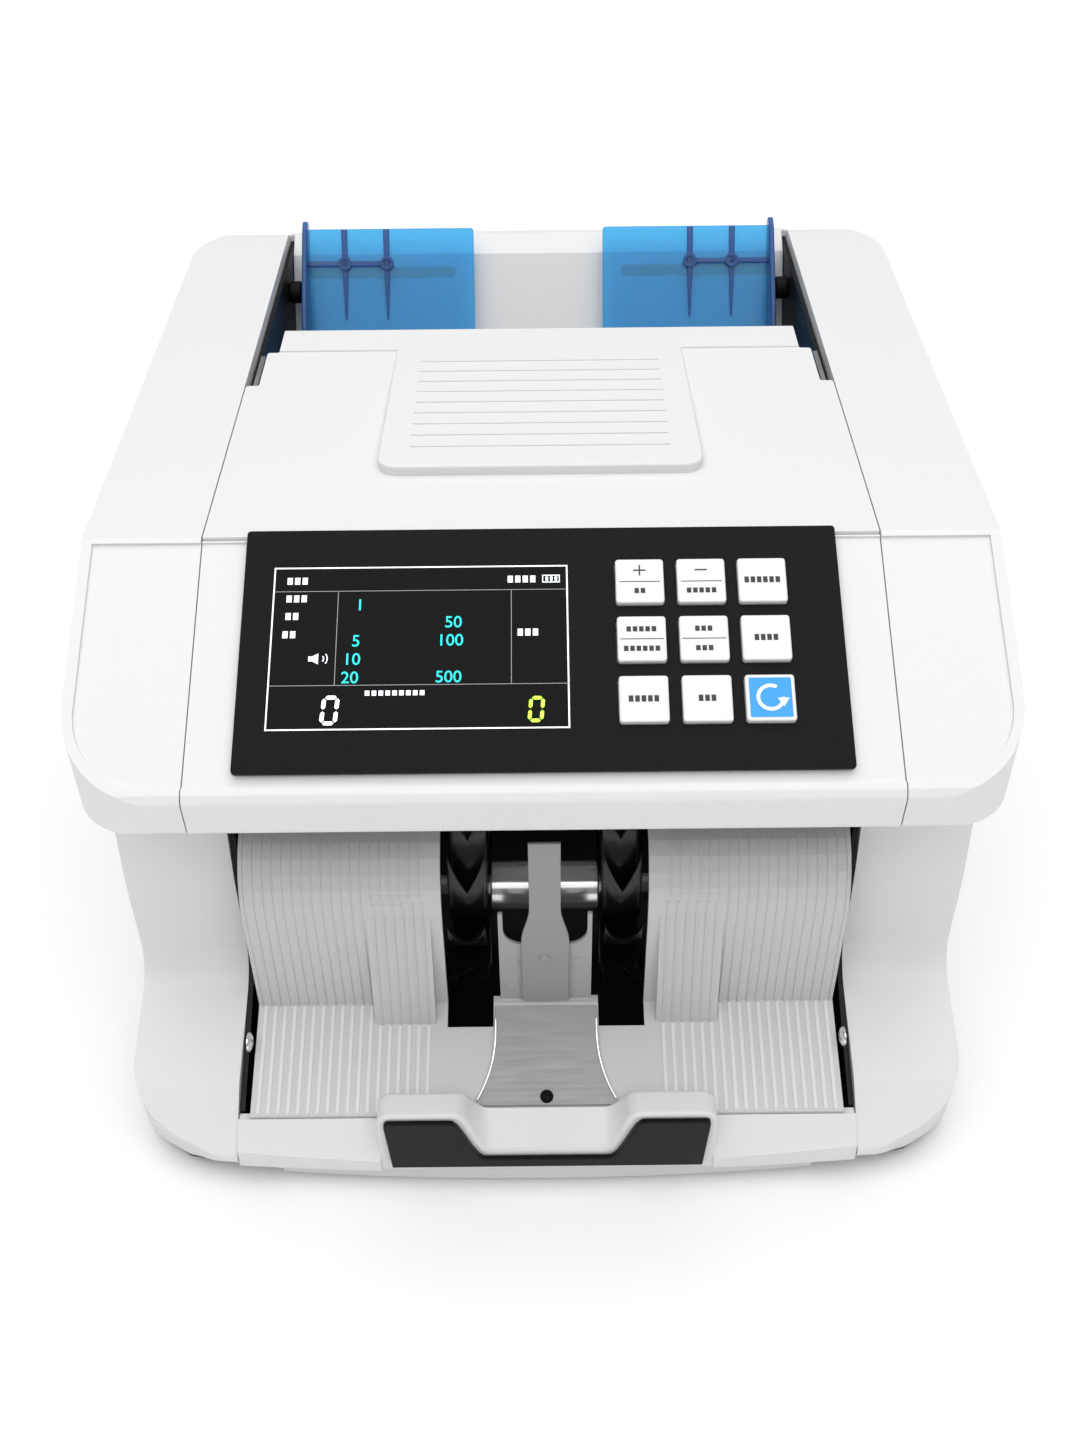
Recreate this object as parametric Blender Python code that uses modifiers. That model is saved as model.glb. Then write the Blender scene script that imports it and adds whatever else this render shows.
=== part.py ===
"""Front-stacking banknote counter, built from separate named pieces.

Frame: X to the machine's right as its user faces it, Y to the back, Z up.  The origin is the
middle of the footprint, at the height of the surface that the feet stand on.
Dimensions are in millimetres; MM turns them into metres where a mesh is made.
"""

import math

import bmesh
import bpy
from mathutils import Matrix, Vector

MM = 0.001
GAP = 0.3

# Casing, from the side: y runs back, z runs up.
HALF_WIDTH = 143.6
SEAM = 106.0
FRONT = -162.0
REAR = 162.0
TOP = 221.0
RIDGE = (-62.0, 203.0)
LIP_TOP = (-134.0, 160.6)
LIP_LOW = (-135.4, 145.0)
LIP_CORNER = (28.0, 27.0)
FOOT_CORNER = (37.2, 27.0)
REAR_CORNER = (26.0, 26.0)
SHELL = 2.5
BOW = 4.4e-4
BLOCK_HALF = 57.0

# Mains inlet and switch, in the rear cover.
INLET_X = (-84.0, -56.0)
SWITCH_X = (-44.0, -30.0)
INLET_Z = (16.0, 36.0)
SWITCH_Z = (16.0, 36.0)

# Note pocket.
POCKET_HALF = 101.7
WALL_Y = -113.7
FLOOR_FRONT = (-149.2, 26.2)
FLOOR_REAR = (WALL_Y, 42.2)
FLOOR_SLOPE = math.atan2(FLOOR_REAR[1] - FLOOR_FRONT[1], FLOOR_REAR[0] - FLOOR_FRONT[0])
SLOT_INNER = 18.5
SLOT_OUTER = 34.7
SLOT_FRONT = -121.6

# Shafts, all along X: (y, z).
STACKER_AXIS = (-79.0, 66.0)
DRUM_AXIS = (-6.0, 118.0)
FEED_AXIS = (84.0, 128.0)
MOTOR_AXIS = (50.0, 48.0)
PINCH_AXIS = (-6.0, 153.6)
HINGE_AXIS = (-118.0, 154.0)
STACKER_RADIUS = 38.5
DRUM_RADIUS = 25.0
PINCH_RADIUS = 10.0
FEED_RADIUS = 17.0
SHAFT_RADIUS = 4.0
SHAFT_END = 122.0
SHAFT_LEFT = 108.0
RUNNING = 0.1

# Side frames and the pulleys outside the right one.
FRAME_IN = 104.2
FRAME_OUT = 105.7
FRAME_REAR = 158.8
PULLEY_START = 107.0
PULLEY_WIDTH = 4.6
PULLEY_PITCH = 5.2
BELT = 1.2
BIG_PULLEY = 12.0
SMALL_PULLEY = 8.0

# Front panel: distances along the slope from the lip line, and above its surface.
PANEL_SLOPE = math.atan2(RIDGE[1] - LIP_TOP[1], RIDGE[0] - LIP_TOP[0])
BEZEL_HALF = 91.4
BEZEL_SPAN = (5.0, 85.0)
BEZEL_RISE = 1.5
SCREEN_X = (-82.2, 8.0)
SCREEN_SPAN = (18.4, 72.1)
KEY_SIZE = 14.8
KEY_COLUMNS = (30.0, 48.8, 67.5)
KEY_ROWS = (65.6, 46.3, 26.8)
KEY_RISE = 3.4
KEY_NAMES = (
    ("key_plus", "key_minus", "key_batch"),
    ("key_auto", "key_detect", "key_add"),
    ("key_function", "key_uv", "key_restart"),
)

# Hopper guides and their rack drive.
HOPPER_TOP = (150.0, 214.0)
HOPPER_SLOPE = math.radians(60.0)
GUIDE_INNER = 27.0
GUIDE_OUTER = 98.2
GUIDE_LENGTH = 62.0
GUIDE_STAND = 6.5
RACK_DROP = 15.0
PINION_DROP = RACK_DROP + 2.0
RACK_MODULE = 1.25
PINION_TEETH = 12

WHITE = (0.86, 0.86, 0.85)
GREY = (0.55, 0.55, 0.56)
BLACK = (0.02, 0.02, 0.022)
BLUE = (0.03, 0.28, 0.8)
STEEL = (0.62, 0.62, 0.62)
GREEN = (0.03, 0.22, 0.09)


# ---------------------------------------------------------------- helpers

def clear_scene():
    for old in list(bpy.data.objects):
        bpy.data.objects.remove(old, do_unlink=True)


def new_collection(name):
    made = bpy.data.collections.new(name)
    bpy.context.scene.collection.children.link(made)
    return made


def new_material(name, colour, roughness, metallic=0.0):
    made = bpy.data.materials.new(name)
    made.use_nodes = True
    shader = made.node_tree.nodes["Principled BSDF"]
    shader.inputs["Base Color"].default_value = (*colour, 1.0)
    shader.inputs["Roughness"].default_value = roughness
    shader.inputs["Metallic"].default_value = metallic
    return made


def add_mesh_object(name, mesh, material=None):
    """A part when it has a material, else a cutter."""
    obj = bpy.data.objects.new(name, mesh)
    if material is None:
        CUTTERS.objects.link(obj)
        obj.hide_render = True
        obj.display_type = "WIRE"
    else:
        PARTS.objects.link(obj)
        mesh.materials.append(material)
    return obj


def block(name, x, y, z, material=None):
    """A box between the given limits."""
    size = [(limits[1] - limits[0]) * MM for limits in (x, y, z)]
    centre = [(limits[1] + limits[0]) * MM / 2 for limits in (x, y, z)]
    bm = bmesh.new()
    bmesh.ops.create_cube(bm, size=1.0, matrix=Matrix.Diagonal((*size, 1.0)))
    mesh = bpy.data.meshes.new(name)
    bm.to_mesh(mesh)
    bm.free()
    obj = add_mesh_object(name, mesh, material)
    obj.location = centre
    return obj


def rod(name, x, axis, radius, material=None, sides=24):
    """A cylinder along X from x[0] to x[1], centred on axis = (y, z)."""
    bm = bmesh.new()
    bmesh.ops.create_cone(
        bm, cap_ends=True, segments=sides, radius1=radius * MM, radius2=radius * MM,
        depth=(x[1] - x[0]) * MM, matrix=Matrix.Rotation(math.pi / 2, 4, "Y"),
    )
    mesh = bpy.data.meshes.new(name)
    bm.to_mesh(mesh)
    bm.free()
    mesh.shade_smooth()
    mesh.set_sharp_from_angle(angle=math.radians(40))
    obj = add_mesh_object(name, mesh, material)
    obj.location = ((x[0] + x[1]) * MM / 2, axis[0] * MM, axis[1] * MM)
    return obj


# Local x, y, z of a flat outline in the world, for an extrusion along each axis.
FACING = {
    "X": Matrix(((0, 0, 1), (1, 0, 0), (0, 1, 0))).to_4x4(),
    "Y": Matrix(((1, 0, 0), (0, 0, -1), (0, 1, 0))).to_4x4(),
    "Z": Matrix.Identity(4),
}


def placed(origin, slope=0.0):
    """A frame at origin (mm) whose flat outline lies in XY, tipped up about X by slope."""
    shift = Matrix.Translation(Vector(origin) * MM)
    return shift @ Matrix.Rotation(slope, 4, "X")


HOPPER = placed((0.0, *HOPPER_TOP), HOPPER_SLOPE)
PANEL = placed((0.0, *LIP_TOP), PANEL_SLOPE)


def slab(name, outline, axis, span, material=None, place=None):
    """A flat outline extruded along an axis between two limits."""
    curve = bpy.data.curves.new(name, "CURVE")
    curve.dimensions = "2D"
    curve.fill_mode = "BOTH"
    curve.extrude = (span[1] - span[0]) * MM / 2
    spline = curve.splines.new("POLY")
    spline.points.add(len(outline) - 1)
    for point, (across, along) in zip(spline.points, outline):
        point.co = (across * MM, along * MM, 0.0, 1.0)
    spline.use_cyclic_u = True
    guide = bpy.data.objects.new(name + "_outline", curve)
    bpy.context.scene.collection.objects.link(guide)
    sign = -1.0 if axis == "Y" else 1.0
    middle = Matrix.Translation((0, 0, sign * (span[0] + span[1]) * MM / 2))
    guide.matrix_world = (place or Matrix.Identity(4)) @ FACING[axis] @ middle
    bpy.context.view_layer.update()
    graph = bpy.context.evaluated_depsgraph_get()
    mesh = bpy.data.meshes.new_from_object(guide.evaluated_get(graph))
    world = guide.matrix_world.copy()
    bpy.data.objects.remove(guide, do_unlink=True)
    bm = bmesh.new()
    bm.from_mesh(mesh)
    bmesh.ops.remove_doubles(bm, verts=bm.verts, dist=0.00001)
    bmesh.ops.recalc_face_normals(bm, faces=bm.faces)
    bm.to_mesh(mesh)
    bm.free()
    mesh.name = name
    mesh.materials.clear()
    obj = add_mesh_object(name, mesh, material)
    obj.matrix_world = world
    return obj


def turned(name, profile, axis, material, steps=24):
    """A piece turned about the X line through axis; profile lists (x, radius), left to right."""
    mesh = bpy.data.meshes.new(name)
    bm = bmesh.new()
    corners = [bm.verts.new((radius * MM, 0.0, -x * MM)) for x, radius in profile]
    for first, second in zip(corners, corners[1:]):
        bm.edges.new((first, second))
    bm.to_mesh(mesh)
    bm.free()
    obj = add_mesh_object(name, mesh, material)
    screw = obj.modifiers.new("turn", "SCREW")
    screw.axis = "Z"
    screw.angle = math.tau
    screw.steps = steps
    screw.render_steps = steps
    screw.use_merge_vertices = True
    screw.merge_threshold = 0.00001
    obj.rotation_euler = (0.0, -math.pi / 2, 0.0)
    obj.location = (0.0, axis[0] * MM, axis[1] * MM)
    return obj


def cut(target, *cutters):
    for cutter in cutters:
        step = target.modifiers.new("cut", "BOOLEAN")
        step.operation = "DIFFERENCE"
        step.object = cutter
    return target


def join(target, *others):
    for other in others:
        step = target.modifiers.new("join", "BOOLEAN")
        step.operation = "UNION"
        step.object = other
    return target


def soften(target, width, segments=2, angle=50):
    step = target.modifiers.new("soften", "BEVEL")
    step.width = width * MM
    step.segments = segments
    step.limit_method = "ANGLE"
    step.angle_limit = math.radians(angle)
    return target


def arc(centre, radius, start, end, steps):
    """Points on an arc, angles in degrees."""
    points = []
    for step in range(steps + 1):
        turn = math.radians(start + (end - start) * step / steps)
        points.append((centre[0] + radius * math.cos(turn), centre[1] + radius * math.sin(turn)))
    return points


def rounded_box(x, y, radius, steps=4):
    """A rectangle outline with round corners."""
    points = arc((x[1] - radius, y[1] - radius), radius, 0, 90, steps)
    points += arc((x[0] + radius, y[1] - radius), radius, 90, 180, steps)
    points += arc((x[0] + radius, y[0] + radius), radius, 180, 270, steps)
    points += arc((x[1] - radius, y[0] + radius), radius, 270, 360, steps)
    return points


def along_slope(start, slope, distance, rise=0.0):
    """The (y, z) point at a distance up a slope and a height above it."""
    return (
        start[0] + distance * math.cos(slope) - rise * math.sin(slope),
        start[1] + distance * math.sin(slope) + rise * math.cos(slope),
    )


def sided(side, x):
    """Limits x mirrored to the left when side is -1."""
    return (x[0], x[1]) if side > 0 else (-x[1], -x[0])


# ---------------------------------------------------------------- casing

def casing_profile():
    """Side view of a side cover, from the rear foot round the top to the front foot."""
    points = [(REAR, 6.0), (REAR, TOP), RIDGE, LIP_TOP, (-136.2, 158.0), LIP_LOW]
    points += arc((-132.0, 105.0), 37.0, 82, 8, 6)
    points += [(-98.5, 93.0), (-99.0, 65.0)]
    points += arc((-117.0, 60.0), 18.0, 345, 300, 3)
    points += [(-139.0, 31.0), (-156.5, 20.6), (-158.0, 17.0), (-154.0, 6.0)]
    return points


def corner_cutter(name, side, y_face, inward, corner, z):
    """Trims a vertical outer corner to a quarter ellipse, corner = (half width, half depth).

    inward is +1 at a front face and -1 at a rear one.
    """
    across, along = corner
    reach = 4.0
    centre = (side * (HALF_WIDTH - across), y_face + inward * along)
    points = [(centre[0] + side * across * a, centre[1] - inward * along * b)
              for a, b in arc((0.0, 0.0), 1.0, 0, 90, 8)]
    points += [(centre[0], y_face - inward * reach)]
    points += [(side * (HALF_WIDTH + reach), y_face - inward * reach)]
    points += [(side * (HALF_WIDTH + reach), centre[1])]
    return slab(name, points, "Z", z)


def side_covers():
    hollow = [
        (155.0, 9.0), (155.0, 214.5), (-58.0, 197.5), (-118.0, 162.0), (-122.0, 150.0),
        (-104.0, 139.0), (-92.0, 114.0), (-93.5, 95.0), (-93.5, 60.0), (-98.0, 46.0),
        (-134.0, 27.0), (-134.0, 9.0),
    ]
    deep_hollow = [(136.0, 10.0), (136.0, 211.6), (-57.0, 196.0), (-57.0, 10.0)]
    for side, word in ((-1, "left"), (1, "right")):
        cover = slab("side_cover_" + word, casing_profile(), "X",
                     sided(side, (SEAM + 0.2, HALF_WIDTH)), WHITE_ABS)
        soften(cover, 3.0)
        lip = corner_cutter("lip_corner_" + word, side, -136.4, 1, LIP_CORNER, (120.0, 240.0))
        foot = corner_cutter("foot_corner_" + word, side, -158.2, 1, FOOT_CORNER, (0.0, 60.0))
        back = corner_cutter("back_corner_" + word, side, REAR, -1, REAR_CORNER, (0.0, 240.0))
        cavity = slab("cavity_" + word, hollow, "X", sided(side, (SEAM - 5.0, 125.0)))
        deep = slab("deep_cavity_" + word, deep_hollow, "X",
                    sided(side, (SEAM - 4.0, HALF_WIDTH - SHELL)))
        cut(cover, lip, foot, back, cavity, deep)


def rear_cover():
    slope_end = along_slope(HOPPER_TOP, HOPPER_SLOPE, -88.0)
    under_end = along_slope(HOPPER_TOP, HOPPER_SLOPE, -88.0, -SHELL)
    under_top = along_slope(HOPPER_TOP, HOPPER_SLOPE, -1.0, -SHELL)
    inside = REAR - SHELL
    profile = [
        (REAR, 6.0), (REAR, 219.5), (REAR - 3.0, 219.5), HOPPER_TOP, slope_end, under_end,
        under_top, (inside, 216.0), (inside, 6.0),
    ]
    cover = slab("rear_cover", profile, "X", (-SEAM + 0.1, SEAM - 0.1), WHITE_ABS)
    for side, word in ((-1, "left"), (1, "right")):
        cut(cover, block("frame_slot_" + word, sided(side, (103.9, 108.0)),
                         (60.0, FRAME_REAR + GAP), (0.0, 230.0)))
        slot = rounded_box(sided(side, (35.0, 98.0)), (-9.8, -5.2), 2.2, 2)
        cut(cover, slab("guide_slot_" + word, slot, "Z", (-6.0, 3.0), place=HOPPER))
    for row in range(7):
        low = 112.0 + 9.0 * row
        cut(cover, block(f"vent_{row}", (-40.0, 40.0), (inside - 2.0, REAR + 2.0),
                         (low, low + 3.6)))
    cut(cover, block("inlet_hole", (INLET_X[0] - GAP, INLET_X[1] + GAP), (150.0, 170.0),
                     (INLET_Z[0] - GAP, INLET_Z[1] + GAP)))
    cut(cover, block("switch_hole", (SWITCH_X[0] - GAP, SWITCH_X[1] + GAP), (150.0, 170.0),
                     (SWITCH_Z[0] - 2.0, SWITCH_Z[1] + 2.0)))
    stud = slab("pinion_stud", arc((0.0, -PINION_DROP), 2.4, 0, 345, 23), "Z",
                (-13.0, -2.0), place=HOPPER)
    join(cover, stud)


def bottom():
    slab("bottom_plate", rounded_box((-138.0, 138.0), (-150.0, 158.0), 20.0), "Z",
         (3.0, 5.5), BLACK_STEEL)
    for x, y, word in ((-115, -125, "front_left"), (115, -125, "front_right"),
                       (-115, 135, "rear_left"), (115, 135, "rear_right")):
        slab("foot_" + word, arc((x, y), 9.0, 0, 345, 23), "Z", (0.0, 2.7), RUBBER)


def bow(x, front):
    """The y of the bowed front edge at x, for an edge that reaches front in the middle."""
    return front + BOW * x * x


def bowed_outline(half, front, rear, steps=12):
    edge = [(half * (2 * step / steps - 1), bow(half * (2 * step / steps - 1), front))
            for step in range(steps + 1)]
    return edge + [(half, rear), (-half, rear)]


def front_base():
    slab("front_skirt", bowed_outline(92.0, -159.0, -150.3), "Z", (3.0, 9.8), GREY_ABS)
    profile = [
        (-149.4, 25.6), (-163.0, 17.4), (-163.0, 10.2), (-146.0, 10.2), (-146.0, 23.6),
        (-149.4, 23.6),
    ]
    lip = slab("front_lip", profile, "X", (-SEAM + 0.1, SEAM - 0.1), WHITE_ABS)
    beyond = [(-120.0, -175.0), (120.0, -175.0)]
    edge = bowed_outline(120.0, -162.0, 0.0)[:-2]
    cut(lip, slab("bow_trim", beyond + edge[::-1], "Z", (0.0, 40.0)))
    cut(lip, block("block_room", (-BLOCK_HALF, BLOCK_HALF), (-175.0, -159.8), (0.0, 60.0)))
    block_face = slab("finger_block", block_outline(37.8, 30.2), "Y", (-159.8, -149.6))
    scoop = [(-30.0, 45.0)] + dip(30.2, 18.7) + [(30.0, 45.0)]
    join(lip, block_face)
    cut(lip, slab("scoop", scoop, "Y", (-165.0, -154.5)))
    face = [(-54.5, 11.0), (54.5, 11.0)]
    face += [(54.5, 35.0), (31.0, 35.0), (25.0, 32.0), (19.0, 21.5), (12.0, 17.5)]
    face += [(-12.0, 17.5), (-19.0, 21.5), (-25.0, 32.0), (-31.0, 35.0), (-54.5, 35.0)]
    slab("lip_insert", face, "Y", (FRONT, -160.1), GLOSS_BLACK)


def dip(high, low):
    """The top edge of the finger dip, left to right."""
    return [(-28.0, high), (-24.0, high - 0.35 * (high - low)), (-18.0, low + 0.15 * (high - low)),
            (-12.0, low), (12.0, low), (18.0, low + 0.15 * (high - low)),
            (24.0, high - 0.35 * (high - low)), (28.0, high)]


def block_outline(high, low):
    top = [(-BLOCK_HALF, high)] + dip(high, low) + [(BLOCK_HALF, high)]
    return [(BLOCK_HALF, 10.2), (-BLOCK_HALF, 10.2)] + top


# ---------------------------------------------------------------- note pocket

def pocket():
    turn = arc((-85.0, 86.0), 28.7, 180, 115, 6)
    back = arc((-85.0, 86.0), 26.5, 115, 180, 6)
    profile = [FLOOR_FRONT, FLOOR_REAR] + turn + back
    profile += [(WALL_Y + 2.2, 40.5), (FLOOR_FRONT[0], FLOOR_FRONT[1] - 2.2)]
    liner = slab("pocket_liner", profile, "X", (-POCKET_HALF, POCKET_HALF), WHITE_ABS)
    cut(liner, block("wheel_window", (-SLOT_OUTER, SLOT_OUTER), (-130.0, -50.0), (43.2, 140.0)))
    for side, word in ((-1, "left"), (1, "right")):
        wedge = [(-120.5, 38.6), (-112.2, 95.0), (-111.0, 95.0), (WALL_Y + 1.0, 41.0)]
        join(liner, slab("wedge_" + word, wedge, "X", sided(side, (38.7, 60.1))))
        slot = block("floor_slot_" + word, sided(side, (SLOT_INNER, SLOT_OUTER)),
                     (SLOT_FRONT, -100.0), (20.0, 60.0))
        cut(liner, slot)
    floor = placed((0.0, *FLOOR_FRONT), FLOOR_SLOPE)
    waist = [(-24.2, 5.0), (-24.2, 3.0), (24.2, 3.0), (24.2, 5.0), (21.0, 12.0), (19.0, 19.0),
             (18.0, 27.0), (18.0, 37.5), (-18.0, 37.5), (-18.0, 27.0), (-19.0, 19.0), (-21.0, 12.0)]
    slab("tray_plate", waist[::-1], "Z", (GAP, GAP + 0.8), STAINLESS, place=floor)
    slab("plate_screw", arc((0.0, 5.6), 2.2, 0, 337.5, 15), "Z", (2 * GAP + 0.8, 2.6),
         BLACK_STEEL, place=floor)
    bracket = [(-16.0, 43.6), (16.0, 43.6), (16.0, 86.0), (14.6, 86.0), (14.6, 76.0), (11.0, 71.5),
               (-11.0, 71.5), (-14.6, 76.0), (-14.6, 86.0), (-16.0, 86.0)]
    slab("sensor_bracket", bracket, "Y", (-112.6, -111.4), GREY_ABS)
    bar = [(-8.2, 43.6), (8.2, 43.6), (8.2, 74.0), (5.3, 90.0), (5.3, 120.0), (-5.3, 120.0),
           (-5.3, 90.0), (-8.2, 74.0)]
    slab("note_guide", bar, "Y", (-114.4, -113.0), GREY_ABS)


def side_frames():
    boss = arc(HINGE_AXIS, 4.3, 120, 282, 10)
    profile = [
        (FRAME_REAR, 9.0), (FRAME_REAR, 217.0), (31.6, 206.5), (31.4, 200.1), (-57.0, 192.9),
        *boss, (-112.0, 134.4), (-104.0, 124.0), (-94.5, 106.0), (-97.5, 93.0),
        (-98.0, 63.0), (-103.0, 49.0), (-121.0, 38.0), (-145.5, 24.5), (-145.5, 9.0),
    ]
    holes = (STACKER_AXIS, DRUM_AXIS, FEED_AXIS)
    for side, word in ((-1, "left"), (1, "right")):
        frame = slab("side_frame_" + word, profile, "X", sided(side, (FRAME_IN, FRAME_OUT)),
                     BLACK_STEEL)
        for count, axis in enumerate(holes):
            cut(frame, rod(f"bearing_hole_{word}_{count}", sided(side, (100.0, 110.0)), axis,
                           SHAFT_RADIUS + RUNNING))
        cut(frame, rod(f"hinge_hole_{word}", sided(side, (100.0, 110.0)), HINGE_AXIS,
                       3.0 + RUNNING))
        rod("frame_screw_" + word, sided(side, (FRAME_IN - 2.0, FRAME_IN - GAP)),
            (-127.6, 39.0), 3.6, STAINLESS, sides=16)
    cut(bpy.data.objects["side_frame_right"],
        rod("motor_hole", (100.0, 110.0), MOTOR_AXIS, 7.0))


# ---------------------------------------------------------------- drive

def wheel_outline(blades=10, sweep=-62.0, hub=15.0, thick=2.0):
    """A hub with swept blades; the tips trail the turn."""
    points = []
    radii = [hub + (STACKER_RADIUS - hub) * step / 4 for step in range(5)]
    for blade in range(blades):
        base = math.tau * blade / blades

        def place(radius, offset):
            turn = base + math.radians(sweep) * ((radius - hub) / (STACKER_RADIUS - hub)) ** 0.8
            turn += offset / radius
            return (STACKER_AXIS[0] + radius * math.cos(turn),
                    STACKER_AXIS[1] + radius * math.sin(turn))

        points += [place(radius, 0.0) for radius in radii]
        points += [place(radius, thick) for radius in reversed(radii)]
        middle = base + math.pi / blades + thick / hub / 2
        points.append((STACKER_AXIS[0] + hub * math.cos(middle),
                       STACKER_AXIS[1] + hub * math.sin(middle)))
    return points


def pulley(name, axis, radius, first, last):
    left = PULLEY_START + PULLEY_PITCH * first
    right = PULLEY_START + PULLEY_PITCH * last + PULLEY_WIDTH
    wheel = rod(name, (left, right), axis, radius, STAINLESS)
    cut(wheel, rod(name + "_bore", (left - 2.0, right + 2.0), axis, SHAFT_RADIUS + RUNNING))


def belt_outline(first, first_radius, second, second_radius, steps=8):
    """The outline of a belt run round two circles."""
    across = (second[0] - first[0], second[1] - first[1])
    heading = math.degrees(math.atan2(across[1], across[0]))
    lean = math.degrees(math.acos((first_radius - second_radius) / math.hypot(*across)))
    far = arc(second, second_radius, heading - lean, heading + lean, steps)
    near = arc(first, first_radius, heading + lean, heading + 360 - lean, steps)
    return far + near


def belt(name, lane, first, first_radius, second, second_radius):
    left = PULLEY_START + PULLEY_PITCH * lane + 0.3
    span = (left, left + PULLEY_WIDTH - 0.6)
    clear = 0.15 + 0.35
    ring = slab(name, belt_outline(first, first_radius + clear + BELT, second,
                                   second_radius + clear + BELT), "X", span, RUBBER)
    hole = slab(name + "_inside", belt_outline(first, first_radius + clear, second,
                                               second_radius + clear), "X",
                (left - 2.0, left + PULLEY_WIDTH + 2.0))
    cut(ring, hole)


def drive():
    thin = SHAFT_RADIUS
    turned("stacker_shaft", [(-SHAFT_LEFT, 0), (-SHAFT_LEFT, thin), (-16.3, thin), (-16.3, 6.3),
                             (16.3, 6.3), (16.3, thin), (SHAFT_END, thin), (SHAFT_END, 0)],
           STACKER_AXIS, CHROME)
    for side, word in ((-1, "left"), (1, "right")):
        span = sided(side, (20.0, 33.2))
        wheel = slab("stacker_wheel_" + word, wheel_outline(), "X", span, BLACK_RUBBER)
        cut(wheel, rod("wheel_bore_" + word, (span[0] - 1, span[1] + 1), STACKER_AXIS,
                       thin + RUNNING))
        roller = rod("feed_roller_" + word, sided(side, (34.0, 52.0)), FEED_AXIS, FEED_RADIUS,
                     RUBBER)
        cut(roller, rod("roller_bore_" + word, sided(side, (30.0, 56.0)), FEED_AXIS,
                        thin + RUNNING))
    turned("transport_drum", [(-SHAFT_LEFT, 0), (-SHAFT_LEFT, thin), (-90.0, thin), (-90.0, DRUM_RADIUS),
                              (90.0, DRUM_RADIUS), (90.0, thin), (SHAFT_END, thin),
                              (SHAFT_END, 0)], DRUM_AXIS, GREY_ABS, steps=32)
    turned("feed_shaft", [(-SHAFT_LEFT, 0), (-SHAFT_LEFT, thin), (SHAFT_END, thin), (SHAFT_END, 0)],
           FEED_AXIS, CHROME)
    pulley_end = PULLEY_START + PULLEY_WIDTH
    turned("motor_pulley", [(FRAME_IN - 3.0, 0), (FRAME_IN - 3.0, 3.0), (PULLEY_START, 3.0),
                            (PULLEY_START, SMALL_PULLEY), (pulley_end, SMALL_PULLEY),
                            (pulley_end, 0)], MOTOR_AXIS, STAINLESS)
    rod("motor", (40.0, FRAME_IN - 3.4), MOTOR_AXIS, 25.0, STAINLESS, sides=32)
    pulley("stacker_pulley", STACKER_AXIS, BIG_PULLEY, 1, 1)
    pulley("drum_pulley", DRUM_AXIS, BIG_PULLEY, 0, 2)
    pulley("feed_pulley", FEED_AXIS, BIG_PULLEY, 2, 2)
    belt("motor_belt", 0, DRUM_AXIS, BIG_PULLEY, MOTOR_AXIS, SMALL_PULLEY)
    belt("stacker_belt", 1, DRUM_AXIS, BIG_PULLEY, STACKER_AXIS, BIG_PULLEY)
    belt("feed_belt", 2, DRUM_AXIS, BIG_PULLEY, FEED_AXIS, BIG_PULLEY)


def electrics():
    block("power_supply", (-96.0, -30.0), (70.0, 145.0), (6.0, 42.0), STAINLESS)
    block("main_board", (-20.0, 30.0), (20.0, 120.0), (9.0, 10.6), CIRCUIT)
    inlet = block("power_inlet", INLET_X, (148.0, 161.2), INLET_Z, GLOSS_BLACK)
    cut(inlet, block("inlet_socket", (INLET_X[0] + 2.5, INLET_X[1] - 2.5), (152.0, 170.0),
                     (INLET_Z[0] + 3.0, INLET_Z[1] - 3.0)))
    rocker = [(150.5, SWITCH_Z[0]), (158.5, SWITCH_Z[0]), (157.9, sum(SWITCH_Z) / 2),
              (161.6, SWITCH_Z[1]), (150.5, SWITCH_Z[1])]
    slab("power_switch", rocker, "X", SWITCH_X, GLOSS_BLACK)


# ---------------------------------------------------------------- hopper

def hopper_floor():
    floor = slab("hopper_floor", [(102.0, 133.5), (60.0, 143.5), (60.0, 141.3), (102.0, 131.3)],
                 "X", (-103.5, 103.5), GREY_ABS)
    for side, word in ((-1, "left"), (1, "right")):
        cut(floor, block("roller_slot_" + word, sided(side, (32.0, 54.0)), (64.0, 101.0),
                         (120.0, 150.0)))


def rack_outline(side):
    """A bar with teeth towards the pinion; the upper rack is the left guide's."""
    pitch = math.pi * RACK_MODULE
    radius = RACK_MODULE * PINION_TEETH / 2
    line = -PINION_DROP - side * radius
    tip = line + side * 1.0
    root = line - side * 1.5
    back = root - side * 4.5
    points = []
    first = -9 if side < 0 else -2
    for tooth in range(first, first + 11):
        middle = (tooth + 0.5) * pitch
        points += [(middle - 1.25, root), (middle - 0.35, tip), (middle + 0.35, tip),
                   (middle + 1.25, root)]
    left = points[0][0] - 1.0
    right = points[-1][0] + 1.0
    if side < 0:
        return [(-70.0, root)] + points + [(right, root), (right, back), (-70.0, back)]
    arm = -RACK_DROP + 12.0
    return [(left, root)] + points + [(58.0, root), (58.0, arm), (70.0, arm), (70.0, back),
                                      (left, back)]


def pinion_outline():
    radius = RACK_MODULE * PINION_TEETH / 2
    root, tip = radius - 1.5, radius + 0.9
    points = []
    for tooth in range(PINION_TEETH):
        middle = 90.0 + 360.0 * tooth / PINION_TEETH
        for reach, lean in ((root, -9.6), (tip, -3.0), (tip, 3.0), (root, 9.6)):
            turn = math.radians(middle + lean)
            points.append((reach * math.cos(turn), -PINION_DROP + reach * math.sin(turn)))
    return points


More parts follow.
